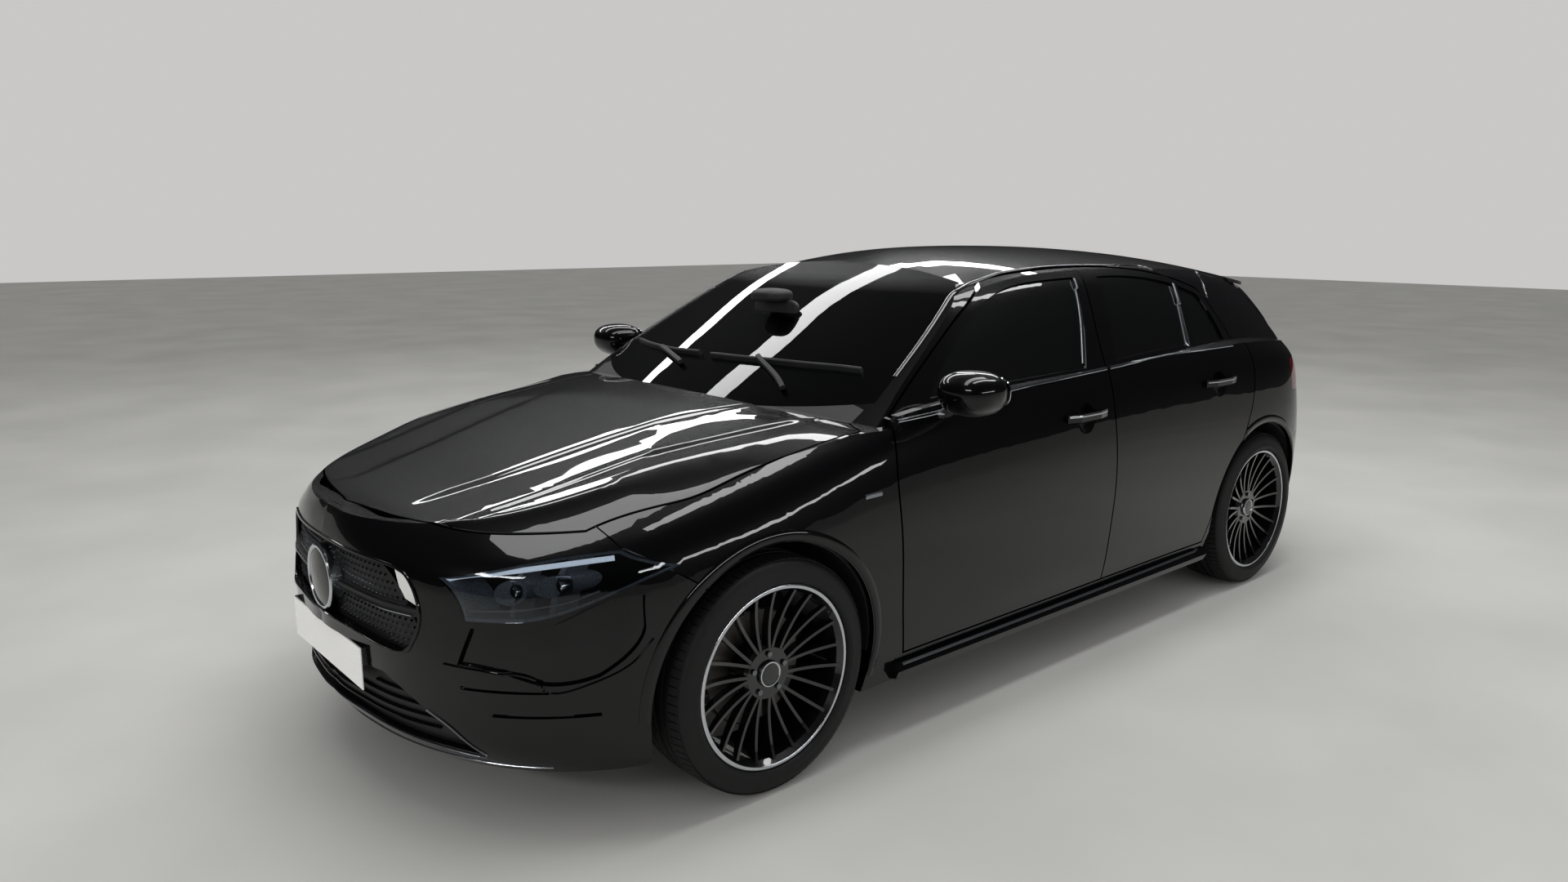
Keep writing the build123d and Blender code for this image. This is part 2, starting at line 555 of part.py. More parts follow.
pane_slot = cabin_side_block(9) - cabin_side_block(14)
pane_layer = cabin_side_block(9 + SEAT_GAP) - cabin_side_block(14 - SEAT_GAP)
for label, runs, windows in (("front", FRONT_DOOR, [FRONT_WINDOW]), ("rear", REAR_DOOR, REAR_GLASS_SHAPES)):
    skin = (along_y(runs) & BODY_0) - set_in(DOOR_SKIN)
    inner = (along_y(runs, gap=-50) & box(-3000, 3000, 0, 1200, 0, 985) & BODY_0) - set_in(DOOR_DEPTH)
    door = (skin + inner) - ARCHES - tube_y(REAR_AXLE_X, TYRE_RADIUS, REAR_ARCH_RADIUS + PANEL_GAP, 600, 1200)
    panes = []
    for window in windows:
        door -= along_y(window) + (along_y(window, gap=10) & pane_slot)
        panes.append(along_y(window, gap=10 - SEAT_GAP) & pane_layer)
    handle_x, handle_z = HANDLES[label]
    door -= Pos(handle_x, HANDLE_Y + 62, handle_z) * Sphere(80)
    door += handle(HANDLES[label])
    door -= box(800, 900, 700, 797, 925, 975)
    save(f"door_{label}_left", door)
    save(f"door_{label}_right", mirrored(door))
    save(f"glass_{label}_left", panes)
    save(f"glass_{label}_right", [mirrored(pane) for pane in panes])

# ---------------------------------------------------------------- glass and lamps

windscreen_half = (screen_zone(14) & screen_block(0) & cabin_side_block(0)) - screen_block(GLASS)
save("windscreen", across(windscreen_half & LEFT_HALF))
rear_glass_half = (tail_zone(REAR_GLASS, 12) & rear_glass_block(0)) - rear_glass_block(GLASS)
save("rear_glass", across(rear_glass_half & LEFT_HALF))

def rod(radius, low, high):
    """A cylinder along Z from low to high."""
    return Pos(0, 0, low) * Cylinder(radius, high - low, align=(Align.CENTER, Align.CENTER, Align.MIN))


behind_panel = belt_block(PANEL + SEAT_GAP)
GRILLE_ARC = 1770
GRILLE_X = NOSE_X - 34
EMBLEM_Z = 580
arc_centre = Pos(GRILLE_X - GRILLE_ARC, 0, 0)
grille_ring = arc_centre * (rod(GRILLE_ARC, 400, 760) - rod(GRILLE_ARC - 8, 390, 770))
grille_half = grille_ring & nose_zone(GRILLE, 12) & behind_panel & LEFT_HALF
grille_bar = arc_centre * (rod(GRILLE_ARC + 16, 570, 588) - rod(GRILLE_ARC - 4, 560, 600))
grille_bar = grille_bar & nose_zone(GRILLE, -1) & belt_block(5) & LEFT_HALF
emblem = Pos(GRILLE_X + 8, 0, EMBLEM_Z) * Rot(0, 90, 0) * Cylinder(87, 44)
save("grille", across(grille_half + grille_bar) + emblem)
intake_half = (nose_zone(INTAKE, 12) & behind_panel & LEFT_HALF) - belt_block(PANEL + 8)
save("lower_grille", across(intake_half))
lamp_body = (nose_zone(HEADLAMP, 3 - SEAT_GAP) & belt_block(4 + SEAT_GAP)) - belt_block(70)
lamp_hollow = nose_zone(HEADLAMP, -5) & belt_block(3) - belt_block(62)
lamp_body = lamp_body - lamp_hollow - tube_y(FRONT_AXLE_X, TYRE_RADIUS, STEER_ARCH_RADIUS + 2, 0, 1200)
for lamp_y, lamp_z, lamp_radius in ((648, 652, 30), (712, 668, 25)):
    barrel = Pos(1900, lamp_y, lamp_z) * Rot(0, 90, 0) * Cylinder(lamp_radius, 500)
    web = box(1700, 2100, lamp_y - 4, lamp_y + 4, 500, 800) & nose_zone(HEADLAMP, 3 - SEAT_GAP)
    lamp_body += (barrel & belt_block(14)) - belt_block(60)
    lamp_body += (web & belt_block(24)) - belt_block(58)
save("headlamps", both(lamp_body))
save("headlamp_lenses", both((nose_zone(HEADLAMP, 3 - SEAT_GAP) & BODY_0) - belt_block(4)))
tail_lamp = (tail_zone(TAIL_LAMP, 3 - SEAT_GAP) & BODY_0) - belt_block(40)
save("tail_lamps_outer", both(tail_lamp - tail_zone(TAILGATE_BACK, PANEL_GAP)))
save("tail_lamps_inner", both(tail_lamp & tail_zone(TAILGATE_BACK)))

# ---------------------------------------------------------------- wheels

RIM_HALF_WIDTH = 101
HUB_FACE = 62
SPOKE_PAIRS = 11
SPOKE_WIDTH = 9
BEARING_RADIUS = 32


def turned(points):
    """A ring turned about the wheel's axle from (radius, offset) points."""
    edges = [(r, y, 0) for r, y in points]
    return revolve(make_face(Polyline(*edges, close=True)), Axis.Y, 360)


rim = turned([(258, -101), (258, -93), (RIM_SEAT_RADIUS, -93), (RIM_SEAT_RADIUS, 93), (258, 93), (258, 101),
              (246, 101), (235, 84), (235, -101)])
hub = turned([(0, HUB_FACE), (72, HUB_FACE), (80, HUB_FACE - 10), (80, 18), (0, 18)])
cap = turned([(0, HUB_FACE + 8), (34, HUB_FACE + 8), (38, HUB_FACE), (0, HUB_FACE)])
spoke_side = outline([(160, HUB_FACE + 6), (240, 92)], [(240, 76)], [(160, HUB_FACE - 18), (60, 36)],
                     [(60, HUB_FACE)])
spoke = Pos(0, 0, -SPOKE_WIDTH / 2) * extrude(face(spoke_side), amount=SPOKE_WIDTH, dir=(0, 0, 1))
spokes = []
for pair in range(SPOKE_PAIRS):
    for lean in (-7.5, 7.5):
        fan = Pos(66, 0, 0) * Rot(0, lean, 0) * Pos(-66, 0, 0)
        spokes.append(Rot(0, pair * 360 / SPOKE_PAIRS + lean * .45, 0) * fan * spoke)
wheel = rim + hub + cap + spokes
wheel -= Rot(90, 0, 0) * Cylinder(BEARING_RADIUS + .05, 104)
brake_disc = turned([(165, -28), (165, -4), (72, -4), (72, 18), (64, 18), (64, -28)])
wheel_set = wheel + brake_disc
tyre_half = [(RIM_SEAT_RADIUS, 72), (RIM_SEAT_RADIUS, 92.7), (259, 92.7), (268, 107), (290, TYRE_WIDTH / 2),
             (314, 107), (TYRE_RADIUS, 82)]
tyre_inside = [(TYRE_RADIUS - 14, 78), (290, 101)]
tyre = turned(tyre_half + [(r, -y) for r, y in reversed(tyre_half)]
              + [(r, -y) for r, y in reversed(tyre_inside)] + tyre_inside)
AXLES = (("front", FRONT_AXLE_X, FRONT_TRACK / 2), ("rear", REAR_AXLE_X, REAR_TRACK / 2))
for label, axle_x, half_track in AXLES:
    for side, sign in (("left", 1), ("right", -1)):
        place = Pos(axle_x, sign * half_track, TYRE_RADIUS) * Rot(0, 0, 0 if sign > 0 else 180)
        save(f"wheel_{label}_{side}", place * wheel_set)
        save(f"tyre_{label}_{side}", place * tyre)

# ---------------------------------------------------------------- running gear

LINER = 4
BALL_Y = 728
BALL_Z = 205
STEER_LEAN = 14.5
STRUT_RADIUS = 22
BALL_RADIUS = 12
STEER_AXIS = Pos(FRONT_AXLE_X, BALL_Y, BALL_Z) * Rot(STEER_LEAN, 0, 0)
AXIS_Y = BALL_Y - (TYRE_RADIUS - BALL_Z) * math.tan(math.radians(STEER_LEAN))


tower_z = TYRE_RADIUS + STEER_ARCH_RADIUS - LINER - SEAT_GAP
strut_length = (tower_z - BALL_Z) / math.cos(math.radians(STEER_LEAN))
strut_length -= STRUT_RADIUS * math.tan(math.radians(STEER_LEAN)) + 1
upright = Pos(0, 0, 125) * Box(64, 44, 210)
knuckle = STEER_AXIS * (upright + rod(STRUT_RADIUS, 200, strut_length))
knuckle += tube_y(FRONT_AXLE_X, TYRE_RADIUS, BEARING_RADIUS, AXIS_Y - 20, FRONT_TRACK / 2 + 45)
knuckle -= STEER_AXIS * rod(BALL_RADIUS + .05, 0, 52)
caliper = box(FRONT_AXLE_X - 185, FRONT_AXLE_X - 110, AXIS_Y + 10, FRONT_TRACK / 2 - 31, 290, 390)
caliper += box(FRONT_AXLE_X - 140, FRONT_AXLE_X - 20, AXIS_Y + 6, AXIS_Y + 30, 310, 370)
save("knuckle_left", knuckle + caliper)
save("knuckle_right", mirrored(knuckle + caliper))

arm_plan = outline([(FRONT_AXLE_X + 24, BALL_Y + 14)], [(FRONT_AXLE_X - 24, BALL_Y + 14)],
                   [(FRONT_AXLE_X - 240, 330)], [(FRONT_AXLE_X - 150, 300)], [(FRONT_AXLE_X - 20, 520)],
                   [(FRONT_AXLE_X + 60, 300)], [(FRONT_AXLE_X + 130, 330)])
lower_arm = along_z(arm_plan, 182, 200) + STEER_AXIS * rod(BALL_RADIUS, -10, 50)
SUBFRAME_TOP = 240
subframe = box(FRONT_AXLE_X - 280, FRONT_AXLE_X + 180, 260, 345, 180, SUBFRAME_TOP)
crossmember = box(FRONT_AXLE_X - 280, FRONT_AXLE_X - 180, -10, 345, 180, SUBFRAME_TOP)
save("front_suspension", across(lower_arm + subframe + crossmember))

rear_spindle = tube_y(REAR_AXLE_X, TYRE_RADIUS, BEARING_RADIUS, 560, REAR_TRACK / 2 + 45)
beam = box(REAR_AXLE_X - 5, REAR_AXLE_X + 95, -10, 560, 215, 265)
trailing_arm = box(REAR_AXLE_X - 40, REAR_AXLE_X + 420, 550, 590, 230, 321.5)
hub_plate = box(REAR_AXLE_X - 60, REAR_AXLE_X + 60, 550, 590, 245, 400)
rear_caliper = box(REAR_AXLE_X - 185, REAR_AXLE_X - 110, 690, REAR_TRACK / 2 - 31, 290, 390)
rear_caliper += box(REAR_AXLE_X - 140, REAR_AXLE_X - 10, 690, 710, 310, 370)
save("rear_axle", across(rear_spindle + beam + trailing_arm + hub_plate + rear_caliper))

# ---------------------------------------------------------------- structure under the skin

FLOOR_Z = 190
SILL_Y = 745
DASH_X = 760
FLOOR_SHEET = 14
TUNNEL_Z = 364
TUNNEL_HALF = 114
BOOT_FLOOR_Z = 420
BACK_SEAT_Z = 350
MUFFLER_FRONT = -1770
ENGINE_BACK = FRONT_AXLE_X - 200
floor_line = [
    (1020, 860), (1010, 480), (860, FLOOR_Z), (-820, FLOOR_Z), (-880, BACK_SEAT_Z - 20), (-1200, BACK_SEAT_Z),
    (-1290, BOOT_FLOOR_Z), (-2090, BOOT_FLOOR_Z), (-2110, 640)]
under_line = [(x + FLOOR_SHEET if x > 900 else x - 6, z - FLOOR_SHEET) for x, z in floor_line]
floor_profile = make_face(Polyline(*floor_line, *reversed(under_line), close=True))
floor_half = Pos(0, -10, 0) * extrude(Plane.XZ * floor_profile, amount=SILL_Y + 10, dir=(0, 1, 0))
tunnel_space = box(-1290, 1200, -20, TUNNEL_HALF - FLOOR_SHEET, 0, TUNNEL_Z - FLOOR_SHEET)
tunnel = box(-1280, 940, -10, TUNNEL_HALF, FLOOR_Z - FLOOR_SHEET, TUNNEL_Z)
floor_half = ((floor_half + tunnel - tunnel_space) & BODY_PANEL) - ARCHES - jamb - jamb_rim
save("floor", across(floor_half & LEFT_HALF))

def liner(axle_x, radius, inner_y, outer_y):
    """Half a drum round a wheel, with a wall on its inner side."""
    drum = tube_y(axle_x, TYRE_RADIUS, radius, inner_y, outer_y)
    return drum - tube_y(axle_x, TYRE_RADIUS, radius - LINER, inner_y + LINER, 900)


front_liner = liner(FRONT_AXLE_X, STEER_ARCH_RADIUS, 470, STEER_ARCH_Y)
step = tube_y(FRONT_AXLE_X, TYRE_RADIUS, STEER_ARCH_RADIUS, STEER_ARCH_Y - LINER, STEER_ARCH_Y)
front_liner += step - tube_y(FRONT_AXLE_X, TYRE_RADIUS, FRONT_ARCH_RADIUS - LINER, 470, 900)
front_liner += liner(FRONT_AXLE_X, FRONT_ARCH_RADIUS, STEER_ARCH_Y - LINER, 870) - box(
    FRONT_AXLE_X - 500, FRONT_AXLE_X + 500, 0, STEER_ARCH_Y - LINER, 0, 900) - tube_y(
    FRONT_AXLE_X, TYRE_RADIUS, FRONT_ARCH_RADIUS - LINER, 470, 900)
liners = []
rear_liner = liner(REAR_AXLE_X, REAR_ARCH_RADIUS, 600, 870)
for axle_x, drum in ((FRONT_AXLE_X, front_liner), (REAR_AXLE_X, rear_liner)):
    drum -= tube_y(axle_x, TYRE_RADIUS, BEARING_RADIUS + 8, 400, 700)
    liners.append((drum & box(axle_x - 500, axle_x + 500, 0, 1000, 300, 900)) & BODY_PANEL)
save("wheel_arch_liners", liners, [mirrored(drum) for drum in liners])
engine = box(ENGINE_BACK, FRONT_AXLE_X + 330, -330, 250, SUBFRAME_TOP + SEAT_GAP, 780)
save("engine", engine)
PIPE_Z = 300
PIPE_RADIUS = 28
pipe_length = ENGINE_BACK - SEAT_GAP - MUFFLER_FRONT
exhaust = Pos(MUFFLER_FRONT + pipe_length / 2, 0, PIPE_Z) * Rot(0, 90, 0) * Cylinder(PIPE_RADIUS, pipe_length)
exhaust += box(MUFFLER_FRONT - 280, MUFFLER_FRONT, -360, 360, 256, BOOT_FLOOR_Z - FLOOR_SHEET - SEAT_GAP)
for x in (300, -900):
    exhaust += box(x - 15, x + 15, -12, 12, PIPE_Z, TUNNEL_Z - FLOOR_SHEET - SEAT_GAP)
save("exhaust", exhaust)

# ---------------------------------------------------------------- cabin

SHAFT_RADIUS = 14
dash_side = outline([(870, 940)], [(700, 965)], [(560, 900)], [(590, 760)], [(700, 640)], [(870, 640)])
column_place = Pos(470, 370, 800) * Rot(0, 112, 0)
dash = (along_y(dash_side, -10, 640) & BODY_PANEL) - jamb - jamb_rim
console = box(-150, 700, -110, 110, TUNNEL_Z, 560)
shroud = column_place * (rod(46, 50, 190) - rod(SHAFT_RADIUS + .05, 0, 100))
save("dashboard", across(dash) + console + shroud)


def seat(x, y, width):
    cushion = box(x - 40, x + 460, y - width / 2, y + width / 2, 330, 460)
    back_side = outline([(x - 30, 400)], [(x + 110, 440)], [(x - 40, 1010)], [(x - 150, 1000)])
    back = along_y(back_side, y - width / 2, y + width / 2)
    head_side = outline([(x - 60, 1000)], [(x - 70, 1190)], [(x - 160, 1180)], [(x - 145, 995)])
    return cushion + back + along_y(head_side, y - width * .22, y + width * .22)


pedestals = [box(-60, 300, y - 180, y + 180, FLOOR_Z, 330) for y in (370, -370)]
save("front_seats", [seat(0, y, 500) + p for y, p in zip((370, -370), pedestals)])
bench = box(-1180, -700, -600, 600, TUNNEL_Z, 480)
bench_back = along_y(outline([(-1150, 440)], [(-1030, 470)], [(-1200, 1020)], [(-1290, 1010)]), -600, 600)
save("rear_bench", bench + bench_back)
rim_section = Pos(178, 0, 0) * RegularPolygon(14, 8)
wheel_ring = revolve(Plane.XZ * rim_section, Axis.Z, 360)
steering_wheel = wheel_ring + Box(36, 344, 14) + rod(42, -14, 36) + rod(SHAFT_RADIUS, 30, 90)
save("steering_wheel", column_place * steering_wheel)

mirror_section = RectangleRounded(156, 124, 50)
mirror_shell = Pos(642, 1048, 1043) * Rot(90, 0, 0) * extrude(mirror_section, 190)
mirror_shell = fillet(mirror_shell.edges().group_by(Axis.Y)[-1], 42)
mirror_shell = fillet(mirror_shell.edges().group_by(Axis.Y)[0], 20)
mirror_foot = box(600, 700, 800, 900, 975, 1000)
mirror_foot -= Pos(0, SEAT_GAP, 0) * BODY_0
save("mirror_left", mirror_shell + mirror_foot)
save("mirror_right", mirrored(mirror_shell + mirror_foot))
front_plate = box(PLATE_X, PLATE_X + PLATE_THICK, -PLATE_LENGTH / 2, PLATE_LENGTH / 2,
                  FRONT_PLATE_Z, FRONT_PLATE_Z + PLATE_HEIGHT)
rear_plate = box(-PLATE_X - PLATE_THICK, -PLATE_X, -PLATE_LENGTH / 2, PLATE_LENGTH / 2,
                 REAR_PLATE_Z, REAR_PLATE_Z + PLATE_HEIGHT)
save("number_plates", front_plate, rear_plate)
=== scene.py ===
import bmesh
import bpy
import math
from mathutils import Matrix, Vector
from mathutils.bvhtree import BVHTree


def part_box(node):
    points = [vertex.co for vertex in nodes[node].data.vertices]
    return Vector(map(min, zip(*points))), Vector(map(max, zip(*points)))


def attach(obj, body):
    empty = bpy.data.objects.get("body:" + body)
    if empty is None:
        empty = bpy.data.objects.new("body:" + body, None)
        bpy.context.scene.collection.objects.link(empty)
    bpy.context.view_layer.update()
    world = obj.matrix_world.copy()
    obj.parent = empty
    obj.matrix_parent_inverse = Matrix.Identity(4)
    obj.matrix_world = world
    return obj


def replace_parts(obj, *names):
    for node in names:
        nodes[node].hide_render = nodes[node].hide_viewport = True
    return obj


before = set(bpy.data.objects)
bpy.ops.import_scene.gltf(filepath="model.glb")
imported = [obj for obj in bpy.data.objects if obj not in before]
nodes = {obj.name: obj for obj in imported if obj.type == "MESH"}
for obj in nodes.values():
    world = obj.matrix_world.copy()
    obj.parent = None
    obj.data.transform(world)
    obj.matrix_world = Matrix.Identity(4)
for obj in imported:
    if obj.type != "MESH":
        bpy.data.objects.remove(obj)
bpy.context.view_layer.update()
scene = bpy.context.scene
scene.view_settings.view_transform = "Standard"

# ---- Painted panels ----
# The pressed-steel bumpers, fenders, doors, roof, hood and tailgate, in solid black under a
# thick clear coat, clipped and bolted to the body. The coat is what the eye sees: sharp,
# bright reflections over a black that has almost no colour of its own.
def linear(hex_colour):
    """An sRGB hex colour as the linear values that the shaders take."""
    parts = [int(hex_colour[i:i + 2], 16) / 255 for i in (0, 2, 4)]
    return [p / 12.92 if p <= 0.04045 else ((p + 0.055) / 1.055) ** 2.4 for p in parts] + [1.0]


def add(material, kind, links=None, **settings):
    """Adds a node with its settings and links, given by socket name or number."""
    node = material.node_tree.nodes.new(kind)
    for key, value in settings.items():
        if hasattr(node, key) and key not in node.inputs:
            setattr(node, key, value)
        else:
            node.inputs[key.replace("_", " ") if key not in node.inputs else key].default_value = value
    for socket, (source, output) in (links or {}).items():
        material.node_tree.links.new(source.outputs[output], node.inputs[socket])
    return node


def finish(name, hex_colour, **surface):
    """A new material with one Principled surface; gives the material and that surface."""
    material = bpy.data.materials.new(name)
    material.use_nodes = True
    material.node_tree.nodes.clear()
    shader = material.node_tree.nodes.new("ShaderNodeBsdfPrincipled")
    output = material.node_tree.nodes.new("ShaderNodeOutputMaterial")
    material.node_tree.links.new(shader.outputs[0], output.inputs[0])
    shader.inputs["Base Color"].default_value = linear(hex_colour)
    for socket, value in surface.items():
        shader.inputs[socket.replace("_", " ")].default_value = value
    return material, shader


def mottle(material, shader, size_mm, low, high, shine=None):
    """Uneven colour of a real size, between two colours, and uneven shine if asked."""
    place = add(material, "ShaderNodeTexCoord")
    noise = add(material, "ShaderNodeTexNoise", {"Vector": (place, "Object")}, Scale=1000 / size_mm,
                Detail=4.0)
    shade = add(material, "ShaderNodeValToRGB", {"Fac": (noise, "Fac")})
    for end, colour, where in ((0, low, 0.35), (1, high, 0.65)):
        shade.color_ramp.elements[end].position = where
        shade.color_ramp.elements[end].color = linear(colour)
    material.node_tree.links.new(shade.outputs[0], shader.inputs["Base Color"])
    if shine:
        rough = add(material, "ShaderNodeMapRange", {"Value": (noise, "Fac")}, To_Min=shine[0],
                    To_Max=shine[1])
        material.node_tree.links.new(rough.outputs[0], shader.inputs["Roughness"])


def grain(material, shader, size_mm, strength):
    """Moulded or cast grain of a real size, as bump on the surface."""
    place = add(material, "ShaderNodeTexCoord")
    noise = add(material, "ShaderNodeTexNoise", {"Vector": (place, "Object")}, Scale=1000 / size_mm,
                Detail=3.0)
    bump = add(material, "ShaderNodeBump", {"Height": (noise, "Fac")}, Strength=strength,
               Distance=size_mm / 4000)
    material.node_tree.links.new(bump.outputs[0], shader.inputs["Normal"])


def dress(names, material):
    """Gives CAD nodes their finish, as their one material slot."""
    for name in names:
        mesh = nodes[name].data
        mesh.materials.clear()
        mesh.materials.append(material)


black_paint, paint_shader = finish("black_clear_coat_paint", "020202", Roughness=0.3,
                                   Specular_IOR_Level=0.05, Coat_Weight=1.0, Coat_Roughness=0.012,
                                   Coat_IOR=1.4)
mottle(black_paint, paint_shader, 1.2, "010102", "040405")
dress(["front_bumper", "front_fenders", "rear_bumper", "roof", "side_frame_left", "side_frame_right",
       "hood", "tailgate", "door_front_left", "door_front_right", "door_rear_left", "door_rear_right"],
      black_paint)

# ---- Glass ----
# Laminated windscreen, lightly green with a dark band along its top, and dark tinted privacy
# glass in the doors and the tailgate. All are float glass, glued in, with a mirror surface.
def thin_glass(name, hex_colour, clear, solid="020303"):
    """Glass that is seen through in part; gives the material and its clear-or-dark mix."""
    material = bpy.data.materials.new(name)
    material.use_nodes = True
    tree = material.node_tree
    tree.nodes.clear()
    tint = add(material, "ShaderNodeBsdfTransparent", Color=linear(hex_colour))
    dark = add(material, "ShaderNodeBsdfPrincipled", Roughness=0.4, Specular_IOR_Level=0.1)
    dark.inputs["Base Color"].default_value = linear(solid)
    body = add(material, "ShaderNodeMixShader", {1: (dark, 0), 2: (tint, 0)}, Fac=clear)
    shine = add(material, "ShaderNodeBsdfGlossy", Roughness=0.0)
    angle = add(material, "ShaderNodeFresnel", IOR=1.5)
    surface = add(material, "ShaderNodeMixShader", {0: (angle, 0), 1: (body, 0), 2: (shine, 0)})
    output = tree.nodes.new("ShaderNodeOutputMaterial")
    tree.links.new(surface.outputs[0], output.inputs[0])
    return material, body


screen_glass, screen_mix = thin_glass("laminated_windscreen_glass", "b9c6c0", 0.95)
place = add(screen_glass, "ShaderNodeTexCoord")
split = add(screen_glass, "ShaderNodeSeparateXYZ", {0: (place, "Object")})
high = add(screen_glass, "ShaderNodeMapRange", {"Value": (split, "Z")}, From_Min=1.30, From_Max=1.345,
           To_Min=0.95, To_Max=0.0)
screen_glass.node_tree.links.new(high.outputs[0], screen_mix.inputs["Fac"])
privacy_glass = thin_glass("tinted_privacy_glass", "5a6062", 0.42)[0]
dress(["windscreen"], screen_glass)
dress(["rear_glass", "glass_front_left", "glass_front_right", "glass_rear_left", "glass_rear_right"],
      privacy_glass)

# ---- Waist trim ----
# A bright anodised strip clipped along the foot of the side windows on each door, and satin
# bars on the frame behind the front glass and between the rear glass and its fixed quarter.
def tree_of(*names):
    """A search tree over CAD nodes, and the node that each of its faces belongs to."""
    points, faces, owners = [], [], []
    for name in names:
        mesh = nodes[name].data
        start = len(points)
        points += [v.co.copy() for v in mesh.vertices]
        faces += [[start + i for i in p.vertices] for p in mesh.polygons]
        owners += [name] * len(mesh.polygons)
    return BVHTree.FromPolygons(points, faces), owners


def smooth_path(corners, step=0.012):
    """Points at even steps on a smooth curve through corners given in mm."""
    corners = [Vector(corner) / 1000 for corner in corners]
    ends = [2 * corners[0] - corners[1]] + corners + [2 * corners[-1] - corners[-2]]
    path = []
    for a, b, c, d in zip(ends, ends[1:], ends[2:], ends[3:]):
        count = max(1, round((c - b).length / step))
        for t in (k / count for k in range(count)):
            path.append(0.5 * (2 * b + (c - a) * t + (2 * a - 5 * b + 4 * c - d) * t * t
                               + (3 * b - a - 3 * c + d) * t ** 3))
    return path + [corners[-1]]


def seat(path, tree, aim, only=None, reach=0.35):
    """Points moved along aim onto a surface, each with the surface's direction there."""
    aim = Vector(aim).normalized()
    seated = []
    for point in path:
        spot, normal, face = tree[0].ray_cast(point - aim * reach, aim, 2 * reach)[:3]
        if spot is not None and (only is None or tree[1][face] in only):
            seated.append((spot, normal if normal.dot(aim) < 0 else -normal))
    even = []
    for i, (spot, normal) in enumerate(seated):
        near = seated[max(0, i - 4):i + 5]
        even.append((spot, sum((facing for place, facing in near), Vector()).normalized()))
    return even


def skin(rings, loop=False):
    """The points and faces of a skin over rings of points; loop joins the last to the first."""
    size = len(rings[0])
    faces = []
    for i in range(len(rings) if loop else len(rings) - 1):
        for k in range(size):
            a, b = i * size, (i + 1) % len(rings) * size
            faces.append((a + k, a + (k + 1) % size, b + (k + 1) % size, b + k))
    if not loop:
        faces += [tuple(range(size)), tuple(range(len(rings) * size - size, len(rings) * size))]
    return [point for ring in rings for point in ring], faces


OTHER_SIDE = {"body": "body", "door_fl": "door_fr", "door_rl": "door_rr", "knuckle_l": "knuckle_r",
              "wheel_fl": "wheel_fr", "wheel_rl": "wheel_rr", "hood": "hood", "tailgate": "tailgate"}


def piece(name, shape, material, body, both=True, crease=0.6):
    """A mesh piece that rides a body, and its mirror image on the car's other side."""
    points, faces = shape
    made = []
    for sign, side, rides in ((1, "_left", body), (-1, "_right", OTHER_SIDE.get(body)))[:2 if both else 1]:
        mesh = bpy.data.meshes.new(name + (side if both else ""))
        mesh.from_pydata([(p[0], p[1] * sign, p[2]) for p in points], [], faces)
        form = bmesh.new()
        form.from_mesh(mesh)
        bmesh.ops.remove_doubles(form, verts=form.verts, dist=1e-6)
        bmesh.ops.recalc_face_normals(form, faces=form.faces)
        for face in form.faces:
            face.smooth = True
        for edge in form.edges:
            edge.smooth = len(edge.link_faces) != 2 or edge.calc_face_angle() < crease
        form.to_mesh(mesh)
        form.free()
        mesh.materials.append(material)
        made.append(bpy.data.objects.new(mesh.name, mesh))
        scene.collection.objects.link(made[-1])
        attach(made[-1], rides)
    return made


def band(seated, width, thick, lift=0.0):
    """The shape of a strip with round shoulders that lies along seated points; sizes in mm."""
    section = ((-.5, -.6), (-.5, .35), (-.36, .85), (0, 1), (.36, .85), (.5, .35), (.5, -.6))
    rings = []
    for i, (spot, normal) in enumerate(seated):
        before = seated[max(0, i - 1)][0]
        after = seated[min(i + 1, len(seated) - 1)][0]
        run = (after - before).normalized()
        across = run.cross(normal).normalized()
        out = across.cross(run)
        rings.append([spot + (across * a * width + out * (b * thick + lift)) / 1000 for a, b in section])
    return skin(rings)


bright_trim, bright_shader = finish("bright_anodised_trim", "c9ccd0", Metallic=1.0, Roughness=0.16)
mottle(bright_trim, bright_shader, 3.0, "c4c7cb", "d0d3d7", (0.12, 0.2))
satin_trim, satin_shader = finish("satin_silver_trim", "8c8f93", Metallic=1.0, Roughness=0.32)
mottle(satin_trim, satin_shader, 2.0, "84878b", "95989c", (0.28, 0.36))
INWARD = (0, -1, 0)
side_tree = tree_of("door_front_left", "door_rear_left", "side_frame_left", "glass_front_left",
                    "glass_rear_left", "front_fenders")
waist = smooth_path([(812, 900, 962), (627, 900, 974), (303, 900, 1006), (0, 900, 1020), (-253, 900, 1030),
                     (-500, 900, 1040), (-730, 900, 1046), (-980, 900, 1050), (-1172, 900, 1050)])
for label, body in (("front", "door_fl"), ("rear", "door_rl")):
    strip = seat(waist, side_tree, INWARD, {f"door_{label}_left", f"glass_{label}_left"})
    piece(f"waist_strip_{label}", band(strip, 11, 4), bright_trim, body)
for label, body, width, bar in (
        ("front", "door_fl", 9, [(-296, 900, 1336), (-262, 900, 1262), (-205, 900, 1150), (-150, 900, 1052)]),
        ("rear", "door_rl", 16, [(-996, 900, 1296), (-945, 900, 1180), (-893, 900, 1060)])):
    seated = seat(smooth_path(bar), side_tree, INWARD)
    piece(f"glass_bar_{label}", band(seated, width, 4), satin_trim, body)

# ---- Arch lips and sill ----
# The rolled lips of the wheel arches stand a little proud of the panels as a flat band that
# runs on behind the front wheel. A thin satin-silver band runs along the sill under the doors:
# a painted highlight for the light caught on the sill's edge.
def arc(centre_x, centre_z, radius, first, last, step=2.5):
    """Points in mm on an upright arc beside the car; angles in degrees, forward to back."""
    count = round(abs(last - first) / step)
    return [(centre_x + radius * math.cos(math.radians(first + (last - first) * k / count)), 950,
             centre_z + radius * math.sin(math.radians(first + (last - first) * k / count)))
            for k in range(count + 1)]


